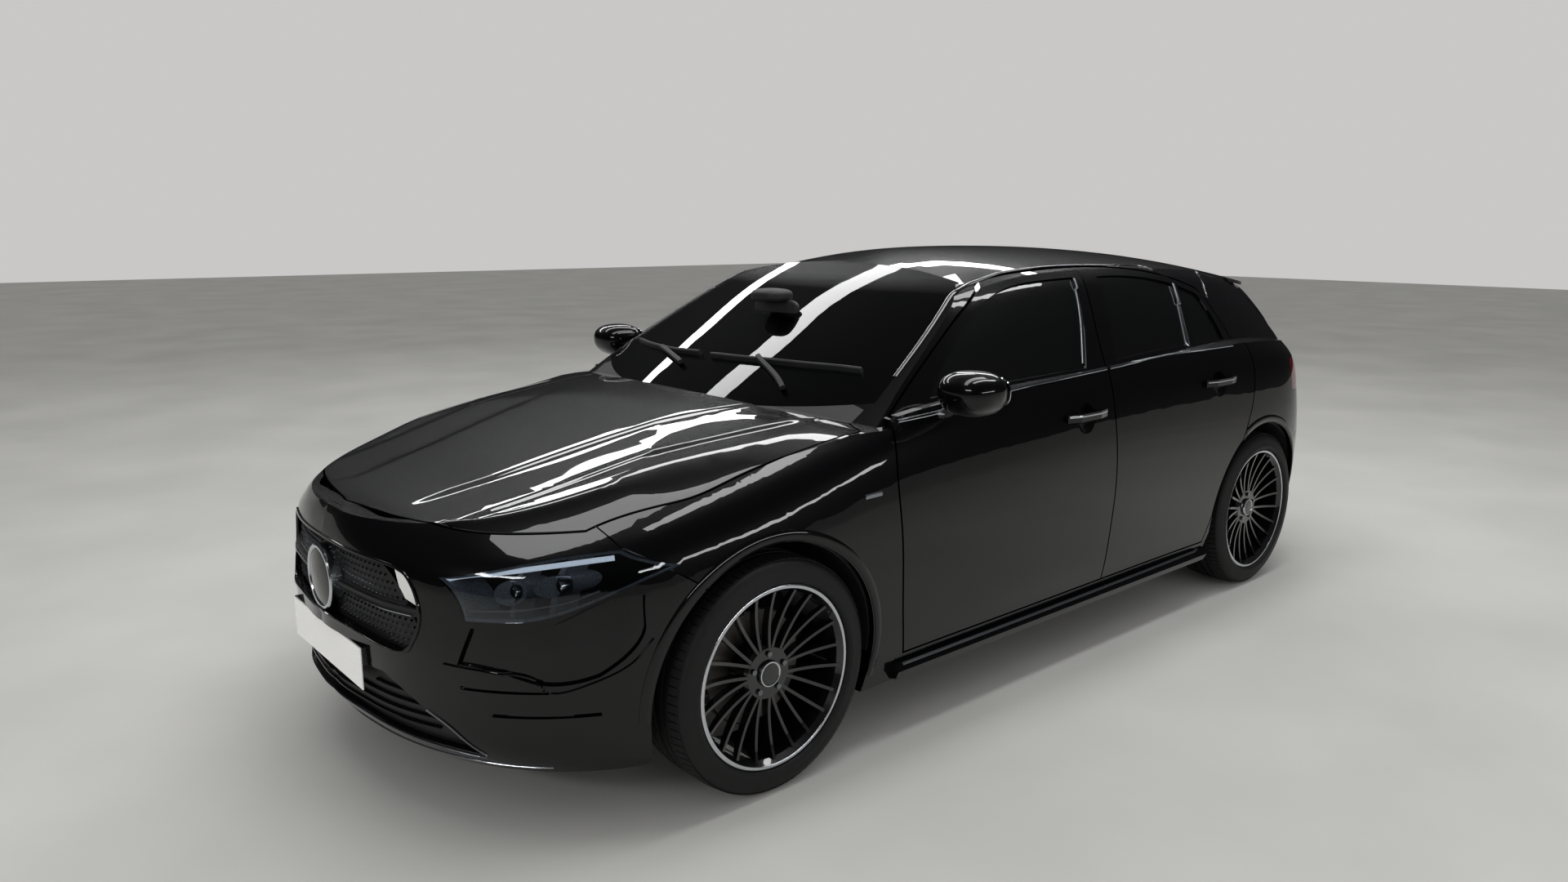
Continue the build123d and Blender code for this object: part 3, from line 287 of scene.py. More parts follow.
WHEEL_PLACES = {"front": (1329, 783.5, 331), "rear": (-1400, 779, 331)}     # left wheel centres in mm
flank_tree = tree_of("front_fenders", "front_bumper", "side_frame_left", "rear_bumper", "door_rear_left")
FLANK = {"front_fenders", "front_bumper", "side_frame_left", "rear_bumper"}
for label, radius, first, last in (("front", 392, -4, 196), ("rear", 398, 40, 182)):
    centre = WHEEL_PLACES[label]
    lip = [Vector(p) / 1000 for p in arc(centre[0], centre[2], radius, first, last)]
    piece(f"arch_lip_{label}", band(seat(lip, flank_tree, INWARD, FLANK), 27, 3.5), black_paint,
          "body")
# Satin silver on the sill is a painted highlight, not a bright part of the car.
sill_highlight_line = smooth_path([(900, 950, 226), (300, 950, 226), (-400, 950, 228), (-960, 950, 232)], 0.04)
piece("sill_bead", band(seat(sill_highlight_line, tree_of("side_frame_left"), INWARD), 9, 4), satin_trim,
      "body")

# ---- Grille ----
# A moulded screen of small bright pins in offset rows behind a rounded opening, a double
# bright blade each side of a plain dark disc in a bright ring, and a black lip round it all.
def repeat_group():
    """A node group that puts a unit at every point, turned as the point says, in one finish."""
    group = bpy.data.node_groups.new("repeat_on_points", "GeometryNodeTree")
    for label, kind in (("Points", "Geometry"), ("Unit", "Object"), ("Size", "Float"),
                        ("Finish", "Material")):
        group.interface.new_socket(label, in_out="INPUT", socket_type="NodeSocket" + kind)
    group.interface.new_socket("Pieces", in_out="OUTPUT", socket_type="NodeSocketGeometry")
    given = group.nodes.new("NodeGroupInput")
    unit = group.nodes.new("GeometryNodeObjectInfo")
    turn = group.nodes.new("GeometryNodeInputNamedAttribute")
    turn.data_type = "FLOAT_VECTOR"
    turn.inputs["Name"].default_value = "turn"
    euler = group.nodes.new("FunctionNodeEulerToRotation")
    place = group.nodes.new("GeometryNodeInstanceOnPoints")
    real = group.nodes.new("GeometryNodeRealizeInstances")
    coat = group.nodes.new("GeometryNodeSetMaterial")
    result = group.nodes.new("NodeGroupOutput")
    for source, output, target, socket in (
            (given, "Points", place, "Points"), (given, "Unit", unit, "Object"),
            (unit, "Geometry", place, "Instance"), (turn, "Attribute", euler, "Euler"),
            (euler, "Rotation", place, "Rotation"), (given, "Size", place, "Scale"),
            (place, "Instances", real, "Geometry"), (real, "Geometry", coat, "Geometry"),
            (given, "Finish", coat, "Material"), (coat, "Geometry", result, "Pieces")):
        group.links.new(source.outputs[output], target.inputs[socket])
    return group


REPEAT = repeat_group()


def repeat(name, spots, unit_shape, material, body, both=False):
    """Copies of a unit at each (place, turn), baked into one mesh that rides a body."""
    unit_mesh = bpy.data.meshes.new(name + "_unit")
    unit_mesh.from_pydata(unit_shape[0], [], unit_shape[1])
    unit = bpy.data.objects.new(name + "_unit", unit_mesh)
    mesh = bpy.data.meshes.new(name + "_points")
    mesh.from_pydata([spot for spot, turn in spots], [], [])
    turns = mesh.attributes.new("turn", "FLOAT_VECTOR", "POINT")
    turns.data.foreach_set("vector", [value for spot, turn in spots for value in turn])
    holder = bpy.data.objects.new(name + "_points", mesh)
    for item in (unit, holder):
        scene.collection.objects.link(item)
    modifier = holder.modifiers.new("repeat", "NODES")
    modifier.node_group = REPEAT
    sockets = {item.name: item.identifier for item in REPEAT.interface.items_tree if item.in_out == "INPUT"}
    for label, value in (("Unit", unit), ("Size", 1.0), ("Finish", material)):
        modifier[sockets[label]] = value
    bpy.context.view_layer.update()
    baked = bpy.data.meshes.new_from_object(holder.evaluated_get(bpy.context.evaluated_depsgraph_get()))
    holder.modifiers.clear()
    shape = [v.co.copy() for v in baked.vertices], [tuple(p.vertices) for p in baked.polygons]
    for item in (unit, holder):
        bpy.data.objects.remove(item)
    return piece(name, shape, material, body, both)


nose_tree = tree_of("grille", "front_bumper", "number_plates", "lower_grille", "hood", "headlamps")
BACKWARD = (-1, 0, 0)


def lies_on(tree, spot, aim, wanted, margin):
    """Whether a point and four neighbours at a margin in mm all first meet one CAD node."""
    for dy, dz in ((0, 0), (margin, 0), (-margin, 0), (0, margin), (0, -margin)):
        start = Vector((spot[0], spot[1] + dy / 1000, spot[2] + dz / 1000)) - Vector(aim)
        face = tree[0].ray_cast(start, Vector(aim), 3)[2]
        if face is None or tree[1][face] != wanted:
            return False
    return True


BLADE_Z, DISC_Z = 579, 580
PIN_PITCH, ROW_PITCH, FIRST_ROW_Z = 19.5, 16.5, 486
pin_spots = []
for row in range(14):
    for column in range(-24, 25):
        y = (column + 0.5 * (row % 2)) * PIN_PITCH
        z = FIRST_ROW_Z + row * ROW_PITCH
        near_bar = abs(z - BLADE_Z) < 17 or math.hypot(y, z - DISC_Z) < 100
        if not near_bar and lies_on(nose_tree, (2.2, y / 1000, z / 1000), BACKWARD, "grille", 7):
            start = Vector((3, y / 1000, z / 1000))
            hit, normal = nose_tree[0].ray_cast(start, Vector(BACKWARD), 3)[:2]
            pin_spots.append((hit, (0, 0, math.atan2(normal.y, normal.x))))
pin = [(-2, -5.5, 0), (-2, 0, -5.5), (-2, 5.5, 0), (-2, 0, 5.5),
       (7, -1.2, 0), (7, 0, -1.2), (7, 1.2, 0), (7, 0, 1.2)]
pin = [tuple(v / 1000 for v in p) for p in pin]
SIX_FACES = [(3, 2, 1, 0), (4, 5, 6, 7)] + [(k, (k + 1) % 4, (k + 1) % 4 + 4, k + 4) for k in range(4)]
dark_chrome, dark_chrome_shader = finish("dark_chrome", "77797d", Metallic=1.0, Roughness=0.2)
mottle(dark_chrome, dark_chrome_shader, 2.0, "6d6f73", "828488", (0.16, 0.26))
repeat("grille_pins", pin_spots, (pin, SIX_FACES), dark_chrome, "body")
for number, z in ((1, 590), (2, 573)):
    blade = seat(smooth_path([(2250, 98, z), (2250, 200, z), (2250, 320, z), (2250, 432, z)]), nose_tree,
                 BACKWARD, {"grille"})
    piece(f"grille_blade_{number}", band(blade, 5, 6), bright_trim, "body")


def turned(profile, centre, axis="Y", count=96):
    """The shape of a profile of (radius, place along the axis) in mm, turned about an axis."""
    rings = []
    for k in range(count):
        turn = 2 * math.pi * k / count
        ring = []
        for radius, along in profile:
            a, b = radius * math.cos(turn), radius * math.sin(turn)
            offset = (a, along, b) if axis == "Y" else (along, a, b)
            ring.append(Vector([(c + o) / 1000 for c, o in zip(centre, offset)]))
        rings.append(ring)
    return skin(rings, loop=True)


disc_centre = (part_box("grille")[1][0] * 1000, 0, DISC_Z)
piece("grille_disc_ring", turned([(92, -30), (92, 0), (88, 4), (81, 3.5), (78, 0), (78, -2), (84, -30)],
                                 disc_centre, "X"), bright_trim, "body", both=False)
dish = [(.5, 9), (25, 8.2), (50, 5.8), (70, 2.6), (78.5, .8), (78.5, -2), (.5, -2)]
piece("grille_disc_dish", turned(dish, disc_centre, "X"), black_paint, "body", both=False)
rim = [(2250, 0, 696), (2250, 180, 693), (2250, 365, 686), (2250, 430, 652), (2250, 459, 577),
       (2250, 442, 510), (2250, 393, 472), (2250, 200, 484), (2250, 0, 489)]
piece("grille_lip", band(seat(smooth_path(rim), nose_tree, BACKWARD, {"front_bumper", "grille"}), 9, 4.5),
      black_paint, "body")

# ---- Lower intake ----
# The opening under the plate has thin black slats, a bright line round its lower side, and
# a thin silver edge along the splitter, which sits on the bumper's lowest lip.
low_tree = tree_of("front_bumper", "lower_grille", "number_plates")
for number, z in enumerate((278, 306, 334, 362)):
    slat = smooth_path([(2250, 0, z), (2250, 150, z), (2250, 300, z), (2250, 470, z)])
    slat = seat(slat, low_tree, BACKWARD, {"lower_grille"})
    if len(slat) > 3:
        piece(f"intake_slat_{number + 1}", band(slat, 6, 9), black_paint, "body")
line = [(2250, 0, 251), (2250, 200, 246), (2250, 350, 234), (2250, 480, 220), (2250, 575, 214),
        (2250, 562, 246), (2250, 516, 300), (2250, 440, 344)]
piece("intake_line", band(seat(smooth_path(line), low_tree, BACKWARD, {"front_bumper"}), 7, 4), dark_chrome,
      "body")
edge = [(2500, 0, 196), (2400, 168, 195), (2350, 377, 193), (2200, 560, 191), (2000, 690, 190)]
edge = seat(smooth_path(edge), low_tree, BACKWARD, {"front_bumper"}, 0.6)
piece("splitter_edge", band(edge, 6, 4), bright_trim, "body")
fin_tree = tree_of("front_bumper")
OBLIQUE = (-0.6, -0.8, 0)
for number, corners in enumerate((((2076, 566, 411), (1998, 655, 412), (1932, 729, 410)),
                                  ((2000, 658, 346), (1940, 715, 345), (1879, 760, 344)),
                                  ((1699, 849, 527), (1754, 831, 469), (1836, 793, 430), (1921, 737, 407),
                                   (1973, 695, 450), (2100, 528, 466)))):
    fin = seat(smooth_path(corners), fin_tree, OBLIQUE)
    piece(f"bumper_fin_{number + 1}", band(fin, 9, 6), black_paint, "body")

# ---- Headlamps ----
# Moulded clear covers over dark housings, each with a white daytime strip under its top edge
# and two projector modules, a glass dome in a bright bezel, fixed to the housing. The strip's
# even glow is painted light, which keeps it bright inside the dimly lit housing.
lamp_cover = thin_glass("clear_lamp_cover", "dfe4e8", 0.97)[0]
dress(["headlamp_lenses"], lamp_cover)
lamp_inner, inner_shader = finish("dark_lamp_housing", "6a6c70", Roughness=0.4, Metallic=0.2)
mottle(lamp_inner, inner_shader, 4.0, "5c5e62", "777a80", (0.34, 0.46))
dress(["headlamps"], lamp_inner)
painted_glow, painted_glow_shader = finish("white_light_guide", "e9edf2", Roughness=0.25, Coat_Weight=0.5)
mottle(painted_glow, painted_glow_shader, 8.0, "e2e7ee", "f4f6f9")
# The emission is painted light: an even glow that makes the strip read bright in the dim housing.
painted_glow_shader.inputs["Emission Color"].default_value = linear("dfe6f2")
painted_glow_shader.inputs["Emission Strength"].default_value = 0.7
lamp_tree = tree_of("headlamp_lenses")
strip = [(2120, 520, 668), (2060, 560, 690), (1990, 620, 704), (1900, 690, 720), (1820, 740, 730),
         (1760, 776, 735)]
piece("lamp_strip", band(seat(smooth_path(strip), lamp_tree, OBLIQUE), 13, 3, lift=-11), painted_glow,
      "body")
strip = [(2100, 560, 600), (2050, 600, 606), (1960, 680, 616), (1880, 750, 634), (1820, 800, 658)]
piece("lamp_strip_low", band(seat(smooth_path(strip), lamp_tree, OBLIQUE), 5, 3, lift=-11), satin_trim,
      "body")
clear_dome = thin_glass("projector_glass", "8d949c", 0.35, "0d1218")[0]
for number, (y, z, radius) in enumerate(((640, 652, 31), (716, 668, 26))):
    cover = lamp_tree[0].ray_cast(Vector((3, y / 1000, z / 1000)), Vector(BACKWARD), 3)[0]
    centre = (cover.x * 1000 - 34, y, z)
    bezel = [(radius, -30), (radius, 0), (radius - 2, 3), (radius - 6, 1), (radius - 7, -4),
             (radius - 3, -30)]
    piece(f"projector_bezel_{number + 1}", turned(bezel, centre, "X", 48), bright_trim,
          "body")
    ball = [(max(.3, (radius - 6) * math.sin(t)), (radius - 6) * .6 * math.cos(t) - 8)
            for t in (math.pi / 2 * k / 8 for k in range(9))] + [(.3, -9)]
    piece(f"projector_dome_{number + 1}", turned(ball, centre, "X", 48), clear_dome, "body")

# ---- Hood ----
# The hood is pressed steel with a raised middle: two soft creases on each side run from the
# windscreen's foot and close in on the grille. It is painted with the rest of the body.
CREASES = ((0.60, 0.19), (0.80, 0.17))      # the place beside the middle at x = 0, and the lean
CREASE_STEPS = (-0.030, -0.022, -0.014, -0.006, 0.002, 0.012)
CREASE_WIDTH = CREASE_STEPS[-1] - CREASE_STEPS[0]
PRESSING = 0.005
HOOD_NOSE, HOOD_FOOT = 2.06, 0.93           # where the creases have run out
pressed = bmesh.new()
pressed.from_mesh(nodes["hood"].data)
bmesh.ops.remove_doubles(pressed, verts=pressed.verts, dist=1e-6)
for start, lean in CREASES:
    for side in (1, -1):
        for step in CREASE_STEPS:
            bmesh.ops.bisect_plane(pressed, geom=pressed.verts[:] + pressed.edges[:] + pressed.faces[:],
                                   plane_co=(0, side * (start + step), 0), plane_no=(lean, side, 0))
bmesh.ops.remove_doubles(pressed, verts=pressed.verts, dist=0.0025)
bmesh.ops.dissolve_degenerate(pressed, dist=0.001, edges=pressed.edges)
for vert in pressed.verts:
    x, y = vert.co.x, abs(vert.co.y)
    fade = max(0, min(1, (HOOD_NOSE - x) / 0.15)) * max(0, min(1, (x - HOOD_FOOT) / 0.1))
    for start, lean in CREASES:
        rise = max(0, min(1, (start + CREASE_STEPS[-1] - y - lean * x) / CREASE_WIDTH))
        vert.co.z += PRESSING * fade * rise * rise * (3 - 2 * rise)
bmesh.ops.triangulate(pressed, faces=pressed.faces)
sheet = ([vert.co.copy() for vert in pressed.verts],
         [[vert.index for vert in face.verts] for face in pressed.faces])
pressed.free()
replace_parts(piece("hood_pressing", sheet, black_paint, "hood", both=False)[0], "hood")

# ---- Mirrors ----
# Two-part housings: a painted cap over a black lower shell, with the glass sunk in the back,
# on a slim foot bolted to the door's shoulder.
def bulged(value, power):
    """A value between -1 and 1 raised to a power, with its sign kept."""
    return math.copysign(abs(value) ** power, value)


def egg(centre, half, flat_back, power=2.5):
    """A rounded housing: a squared-off ball that is cut flat behind; sizes in mm."""
    rings = []
    rows, count = 28, 48
    for i in range(rows + 1):
        rise = -math.pi / 2 + math.pi * i / rows
        ring = []
        for k in range(count):
            turn = 2 * math.pi * k / count
            ball = math.cos(rise) * math.cos(turn), math.sin(rise), math.cos(rise) * math.sin(turn)
            point = [m + h * bulged(v, 2 / power) for m, h, v in zip(centre, half, ball)]
            point[0] = max(point[0], centre[0] - half[0] * flat_back)
            ring.append(Vector(point) / 1000)
        rings.append(ring)
    return skin(rings)


piano_black, piano_shader = finish("piano_black_abs", "050506", Roughness=0.2, Coat_Weight=1.0,
                                   Coat_Roughness=0.02, Specular_IOR_Level=0.2)
mottle(piano_black, piano_shader, 2.0, "040405", "08080a")
caps = piece("mirror_cap", egg((640, 951, 1047), (92, 96.8, 63), 0.82), black_paint,
             "door_fl")
shells = piece("mirror_shell", egg((637, 949, 1039), (88, 93, 63), 0.84), piano_black,
               "door_fl")
for item in caps + shells:
    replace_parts(item, "mirror_left" if item.name.endswith("left") else "mirror_right")
mirror_silver = finish("mirror_silver", "cfd4d8", Metallic=1.0, Roughness=0.03)[0]
glass_ring = [Vector((0.5638, 0.951 + 0.080 * bulged(math.cos(t), .75),
                      1.044 + 0.047 * bulged(math.sin(t), .75)))
              for t in (2 * math.pi * k / 64 for k in range(64))]
piece("mirror_glass", skin([glass_ring, [p - Vector((.0035, 0, 0)) for p in glass_ring]]), mirror_silver,
      "door_fl")
foot = smooth_path([(655, 858, 968), (652, 880, 985), (648, 905, 1000), (645, 925, 1010)], 0.006)
piece("mirror_foot", band([(p, Vector((0, -.5, .85)).normalized()) for p in foot], 56, 15), piano_black,
      "door_fl")

# ---- Door handles ----
# Body-colour pull handles of painted plastic over a dished cup in each door, screwed on from
# inside. Each carries a bright inlay strip, pressed into its outer face.
for label, x, z, body in (("front", -80, 885, "door_fl"), ("rear", -1008, 920, "door_rl")):
    inlay = smooth_path([(x + along, 950, z + 6) for along in (112, 58, -58, -112)])
    inlay = seat(inlay, tree_of(f"door_{label}_left"), INWARD)
    piece(f"handle_inlay_{label}", band(inlay, 7, 2.5), bright_trim, body)

# ---- Fender bars ----
# A small plain bar of satin plated plastic is stuck to each fender, low on its shoulder
# behind the front wheel.
spot = smooth_path([(1000, 950, 774), (934, 950, 776)])
piece("fender_bar", band(seat(spot, tree_of("front_fenders"), INWARD), 13, 3), satin_trim,
      "body")

# ---- Tyres ----
# Low-profile tyres of black rubber compound: a moulded side wall with a rim guard, four
# grooves round the tread, and shoulder blocks cut across it.
tyre_rubber, tyre_shader = finish("moulded_tyre_rubber", "0b0b0c", Roughness=0.62, Specular_IOR_Level=0.35)
mottle(tyre_rubber, tyre_shader, 14.0, "090909", "101011", (0.55, 0.72))
grain(tyre_rubber, tyre_shader, 1.2, 0.35)
tyre_half = [(259.4, 92), (260.2, 101), (263, 107), (267, 111), (272, 112.4), (277, 112.4),
             (280, 110.8), (295, 109.5), (309, 105), (318, 99), (323.5, 92), (324.5, 84), (324.5, 60),
             (325, 57), (331, 56), (331, 40), (330.7, 39), (324.8, 38), (324.8, 31), (330.7, 30),
             (331, 29), (331, 9), (330.7, 8), (324.8, 7), (324.8, 0)]
tyre_profile = tyre_half + [(r, -a) for r, a in tyre_half[::-1][1:]]
BLOCK_COUNT, BLOCK_RADIUS = 88, 330
block = [(x, y, z) for z in (-5.5, 0.9) for x, y in ((-9.4, 58), (-11, 93), (9, 93), (10.6, 58))]
block = [(x / 1000, y / 1000, (z - (4.5 if y > 90 and z > 0 else 0)) / 1000) for x, y, z in block]


def round_spots(centre, radius, along, count, offset=0):
    """Even places round an axle, each turned to face outward; sizes in mm."""
    spots = []
    for turn in (2 * math.pi * (k + offset) / count for k in range(count)):
        out = Vector((radius * math.sin(turn), along, radius * math.cos(turn)))
        spots.append(((Vector(centre) + out) / 1000, (0, turn, 0)))
    return spots


WHEEL_ENDS = (("front", "wheel_fl"), ("rear", "wheel_rl"))
for label, body in WHEEL_ENDS:
    centre = WHEEL_PLACES[label]
    for item in piece(f"tyre_{label}_body", turned(tyre_profile, centre, count=144), tyre_rubber,
                      body):
        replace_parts(item, item.name.replace("_body", ""))
    for side, flip, offset in (("outer", 1, 0), ("inner", -1, 0.5)):
        unit = [(x, y * flip, z) for x, y, z in block]
        repeat(f"tyre_{label}_{side}_blocks", round_spots(centre, BLOCK_RADIUS, 0, BLOCK_COUNT, offset),
               (unit, SIX_FACES), tyre_rubber, body, both=True)

# ---- Wheels ----
# Cast alloy wheels with many thin spokes in pairs, painted gloss black, with a bright turned
# ring on the rim's edge, a plain cap in a bright ring and five bolts. Brake discs behind.
wheel_paint, wheel_shader = finish("gloss_black_wheel_paint", "060607", Roughness=0.25, Coat_Weight=1.0,
                                   Coat_Roughness=0.03, Specular_IOR_Level=0.3)
mottle(wheel_paint, wheel_shader, 2.0, "050506", "0a0a0c")
dress(["wheel_front_left", "wheel_front_right", "wheel_rear_left", "wheel_rear_right"], wheel_paint)
disc_iron, disc_shader = finish("turned_brake_iron", "5d5b58", Metallic=1.0, Roughness=0.35)
mottle(disc_iron, disc_shader, 3.0, "545250", "6a6764", (0.3, 0.45))
cap_black, cap_shader = finish("wheel_cap_black", "0a0a0b", Roughness=0.3, Coat_Weight=0.6)
mottle(cap_black, cap_shader, 2.0, "08080a", "0e0e10")
BOLT_COUNT, BOLT_CIRCLE, HUB_FACE, BOLT_SIZE = 5, 56, 62, 8.5
bolt = [(BOLT_SIZE * math.cos(math.pi / 3 * k) / 1000, y / 1000, BOLT_SIZE * math.sin(math.pi / 3 * k) / 1000)
        for y in (-6, 7) for k in range(6)]
bolt_faces = [tuple(range(6)), tuple(range(11, 5, -1))]
bolt_faces += [(k, (k + 1) % 6, (k + 1) % 6 + 6, k + 6) for k in range(6)]
for label, body in WHEEL_ENDS:
    centre = WHEEL_PLACES[label]
    ring = [(246.5, 97), (246.5, 101.6), (249, 103), (255, 103), (257.5, 101.4), (257.5, 97)]
    piece(f"rim_ring_{label}", turned(ring, centre, count=144), bright_trim, body)
    ring = [(30, 68), (30, 71.5), (32, 73), (35, 72.5), (37, 68)]
    piece(f"cap_ring_{label}", turned(ring, centre, count=64), bright_trim, body)
    cap = [(.3, 73), (15, 72.8), (26, 72), (30.5, 71), (30.5, 68), (.3, 68)]
    piece(f"cap_face_{label}", turned(cap, centre, count=64), cap_black, body)
    repeat(f"wheel_bolts_{label}", round_spots(centre, BOLT_CIRCLE, HUB_FACE, BOLT_COUNT),
           (bolt, bolt_faces), dark_chrome, body, both=True)
    swept = [(86, -3.5), (86, -2.6), (160, -2.6), (160, -3.5)]
    piece(f"disc_face_{label}", turned(swept, centre), disc_iron, body)

# ---- Lower and hidden structure ----
# Floor pan, suspension, engine and exhaust, bolted and hung below the body: sealed sheet,
# black-coated steel, plain cast iron and pipe that heat has tinted.
coated_steel, coated_shader = finish("black_coated_steel", "17181a", Roughness=0.5, Metallic=0.3)
mottle(coated_steel, coated_shader, 30.0, "131416", "1e1f21", (0.42, 0.62))
grain(coated_steel, coated_shader, 3.0, 0.2)
cast_iron, iron_shader = finish("cast_iron", "3b3a38", Roughness=0.7, Metallic=0.8)
mottle(cast_iron, iron_shader, 12.0, "343230", "454341", (0.6, 0.8))
grain(cast_iron, iron_shader, 1.5, 0.5)
pipe_steel, pipe_shader = finish("exhaust_steel", "6a6661", Roughness=0.4, Metallic=1.0)
mottle(pipe_steel, pipe_shader, 40.0, "5a544c", "78756f", (0.3, 0.5))
grain(pipe_steel, pipe_shader, 6.0, 0.15)
dress(["front_suspension", "rear_axle"], coated_steel)
dress(["floor"], coated_steel)
dress(["engine", "knuckle_left", "knuckle_right"], cast_iron)
dress(["exhaust"], pipe_steel)

# ---- Moulded plastic ----
# Wheel-arch liners, the cowl under the windscreen and the backs of both grilles are clipped
# in, all of grained black polypropylene.
grained_plastic, grained_shader = finish("grained_black_polypropylene", "101011", Roughness=0.55)
mottle(grained_plastic, grained_shader, 20.0, "0d0d0e", "151516", (0.5, 0.62))
grain(grained_plastic, grained_shader, 1.0, 0.4)
dress(["wheel_arch_liners", "cowl", "lower_grille", "grille"], grained_plastic)

# ---- Wipers and screen fittings ----
# Two wiper arms with rubber blades lie along the foot of the windscreen from pivots in the
# cowl; inside the glass hang the mirror and the dark housing of the camera and rain sensor.
screen_tree = tree_of("windscreen", "cowl", "hood")
DOWN = (0, 0, -1)
WIPERS = ((((742, 600, 1400), (800, 380, 1400), (838, 150, 1400), (850, -20, 1400)),
           ((905, 420, 1400), (878, 360, 1400), (838, 240, 1400), (822, 200, 1400))),
          (((846, -90, 1400), (838, -260, 1400), (800, -450, 1400), (752, -600, 1400)),
           ((905, -120, 1400), (885, -180, 1400), (842, -300, 1400), (826, -345, 1400))))
for number, (blade, arm) in enumerate(WIPERS, 1):
    for label, corners, size in (("blade", blade, (14, 16, 3)), ("arm", arm, (18, 9, 14))):
        seated = seat(smooth_path(corners), screen_tree, DOWN, reach=1.2)
        piece(f"wiper_{label}_{number}", band(seated, *size), grained_plastic, "body",
              both=False)
for label, housing in (("inner_mirror", egg((575, 0, 1232), (14, 118, 34), 1.0, 3.2)),
                       ("sensor_housing", egg((598, 0, 1276), (62, 72, 26), 1.0, 3.0))):
    piece(label, housing, grained_plastic, "body", both=False)

# ---- Roof mouldings ----
# A narrow black moulding fills the joint between the roof and each body side, from the foot
# of the windscreen pillar to the tailgate.
roof_tree = tree_of("roof", "side_frame_left", "windscreen")
roof_line = []
for k in range(117):
    x = 0.76 - 0.02 * k
    covered = []
    for y in (0.44 + 0.002 * n for n in range(170)):
        face = roof_tree[0].ray_cast(Vector((x, y, 2)), Vector(DOWN), 2)[2]
        if face is None or roof_tree[1][face] in ("roof", "windscreen"):
            covered.append(y)
    if covered:
        roof_line.append(Vector((x, max(covered), 1.4)))
near = [roof_line[max(0, i - 5):i + 6] for i in range(len(roof_line))]
roof_line = [sum(points, Vector()) / len(points) for points in near]
piece("roof_moulding", band(seat(roof_line, roof_tree, DOWN, reach=0.6), 15, 3.5), piano_black,
      "body")

# ---- Rear lamps and tail ----
# Red moulded lamps on the quarter and the tailgate with a raised guide on the inner pair, a
# wiper on the glass, a grained panel low on the bumper and two bright mouldings, clipped on.
red_lamp, red_shader = finish("red_lamp_acrylic", "5a0206", Roughness=0.08, Coat_Weight=1.0,
                              Coat_Roughness=0.02)
mottle(red_lamp, red_shader, 9.0, "48020a", "6e0408")
dress(["tail_lamps_outer", "tail_lamps_inner"], red_lamp)
FORWARD = (1, 0, 0)
tail_tree = tree_of("tailgate", "rear_glass", "rear_bumper", "tail_lamps_outer", "tail_lamps_inner")
line = [(-2100, 10, 1010), (-2100, -120, 1028), (-2100, -260, 1040), (-2100, -360, 1044)]
line = seat(smooth_path(line), tail_tree, FORWARD, {"rear_glass", "tailgate"}, 0.6)
piece("rear_wiper", band(line, 15, 12), grained_plastic, "tailgate", both=False)
line = [(-2400, 470, 840), (-2400, 560, 848), (-2300, 640, 858)]
line = seat(smooth_path(line), tail_tree, FORWARD, {"tail_lamps_inner"}, 0.8)
piece("lamp_guide_inner", band(line, 9, 3), red_lamp, "tailgate")
line = [(-2400, 0, 300), (-2400, 200, 300), (-2350, 400, 298), (-2250, 560, 294)]
line = seat(smooth_path(line), tail_tree, FORWARD, {"rear_bumper"}, 0.8)
piece("rear_panel", band(line, 130, 5), grained_plastic, "body")
line = [(-2400, 300, 262), (-2350, 400, 262), (-2300, 500, 266)]
line = seat(smooth_path(line), tail_tree, FORWARD, {"rear_bumper"}, 0.8)
piece("tail_moulding", band(line, 34, 9), dark_chrome, "body")

# ---- Cabin ----
# Black leather seats with bolsters and sewn channels, the front pair on plinths bolted to the
# floor, a soft-grained dashboard with a screen, and a leather-wrapped steering wheel.
seat_leather, leather_shader = finish("black_seat_leather", "1c1b1a", Roughness=0.45)
mottle(seat_leather, leather_shader, 25.0, "181716", "232120", (0.4, 0.55))
grain(seat_leather, leather_shader, 2.5, 0.5)
dash_plastic, dash_shader = finish("soft_grain_dash", "18181a", Roughness=0.6)
mottle(dash_plastic, dash_shader, 30.0, "151517", "1d1d1f", (0.55, 0.68))
grain(dash_plastic, dash_shader, 1.2, 0.4)
dress(["steering_wheel"], seat_leather)
dress(["dashboard"], dash_plastic)


def pad(centre, half, lean, channels, bolster):
    """A stuffed pad: a squared-off ball with raised sides and sewn channels; sizes in mm."""
    rings = []
    rows, count, side_seam = 40, 56, .66
    turn_over = Matrix.Rotation(math.radians(lean), 3, "Y")
    for i in range(rows + 1):
        rise = -math.pi / 2 + math.pi * i / rows
        ring = []
        for k in range(count):
            turn = 2 * math.pi * k / count
            x = bulged(math.cos(rise) * math.cos(turn), .45)
            z = bulged(math.sin(rise), .45)
            y = bulged(math.cos(rise) * math.sin(turn), .45)
            if x > 0:
                sewn = sum(.09 * math.exp(-((z - channel) / .022) ** 2) for channel in channels)
                x += bolster * max(0, abs(y) - .62) - .06 * (1 - y * y)
                x -= sewn * (abs(y) < side_seam)
                x -= .1 * math.exp(-((abs(y) - side_seam) / .02) ** 2)
            spot = turn_over @ Vector((x * half[0], y * half[1], z * half[2])) + Vector(centre)
            ring.append(spot / 1000)
        rings.append(ring)
    return skin(rings)


def stuffed(name, shape, both=True):
    """A padded leather piece of the seats."""
    made = piece(name, shape, seat_leather, "body", both, crease=3)
    return made


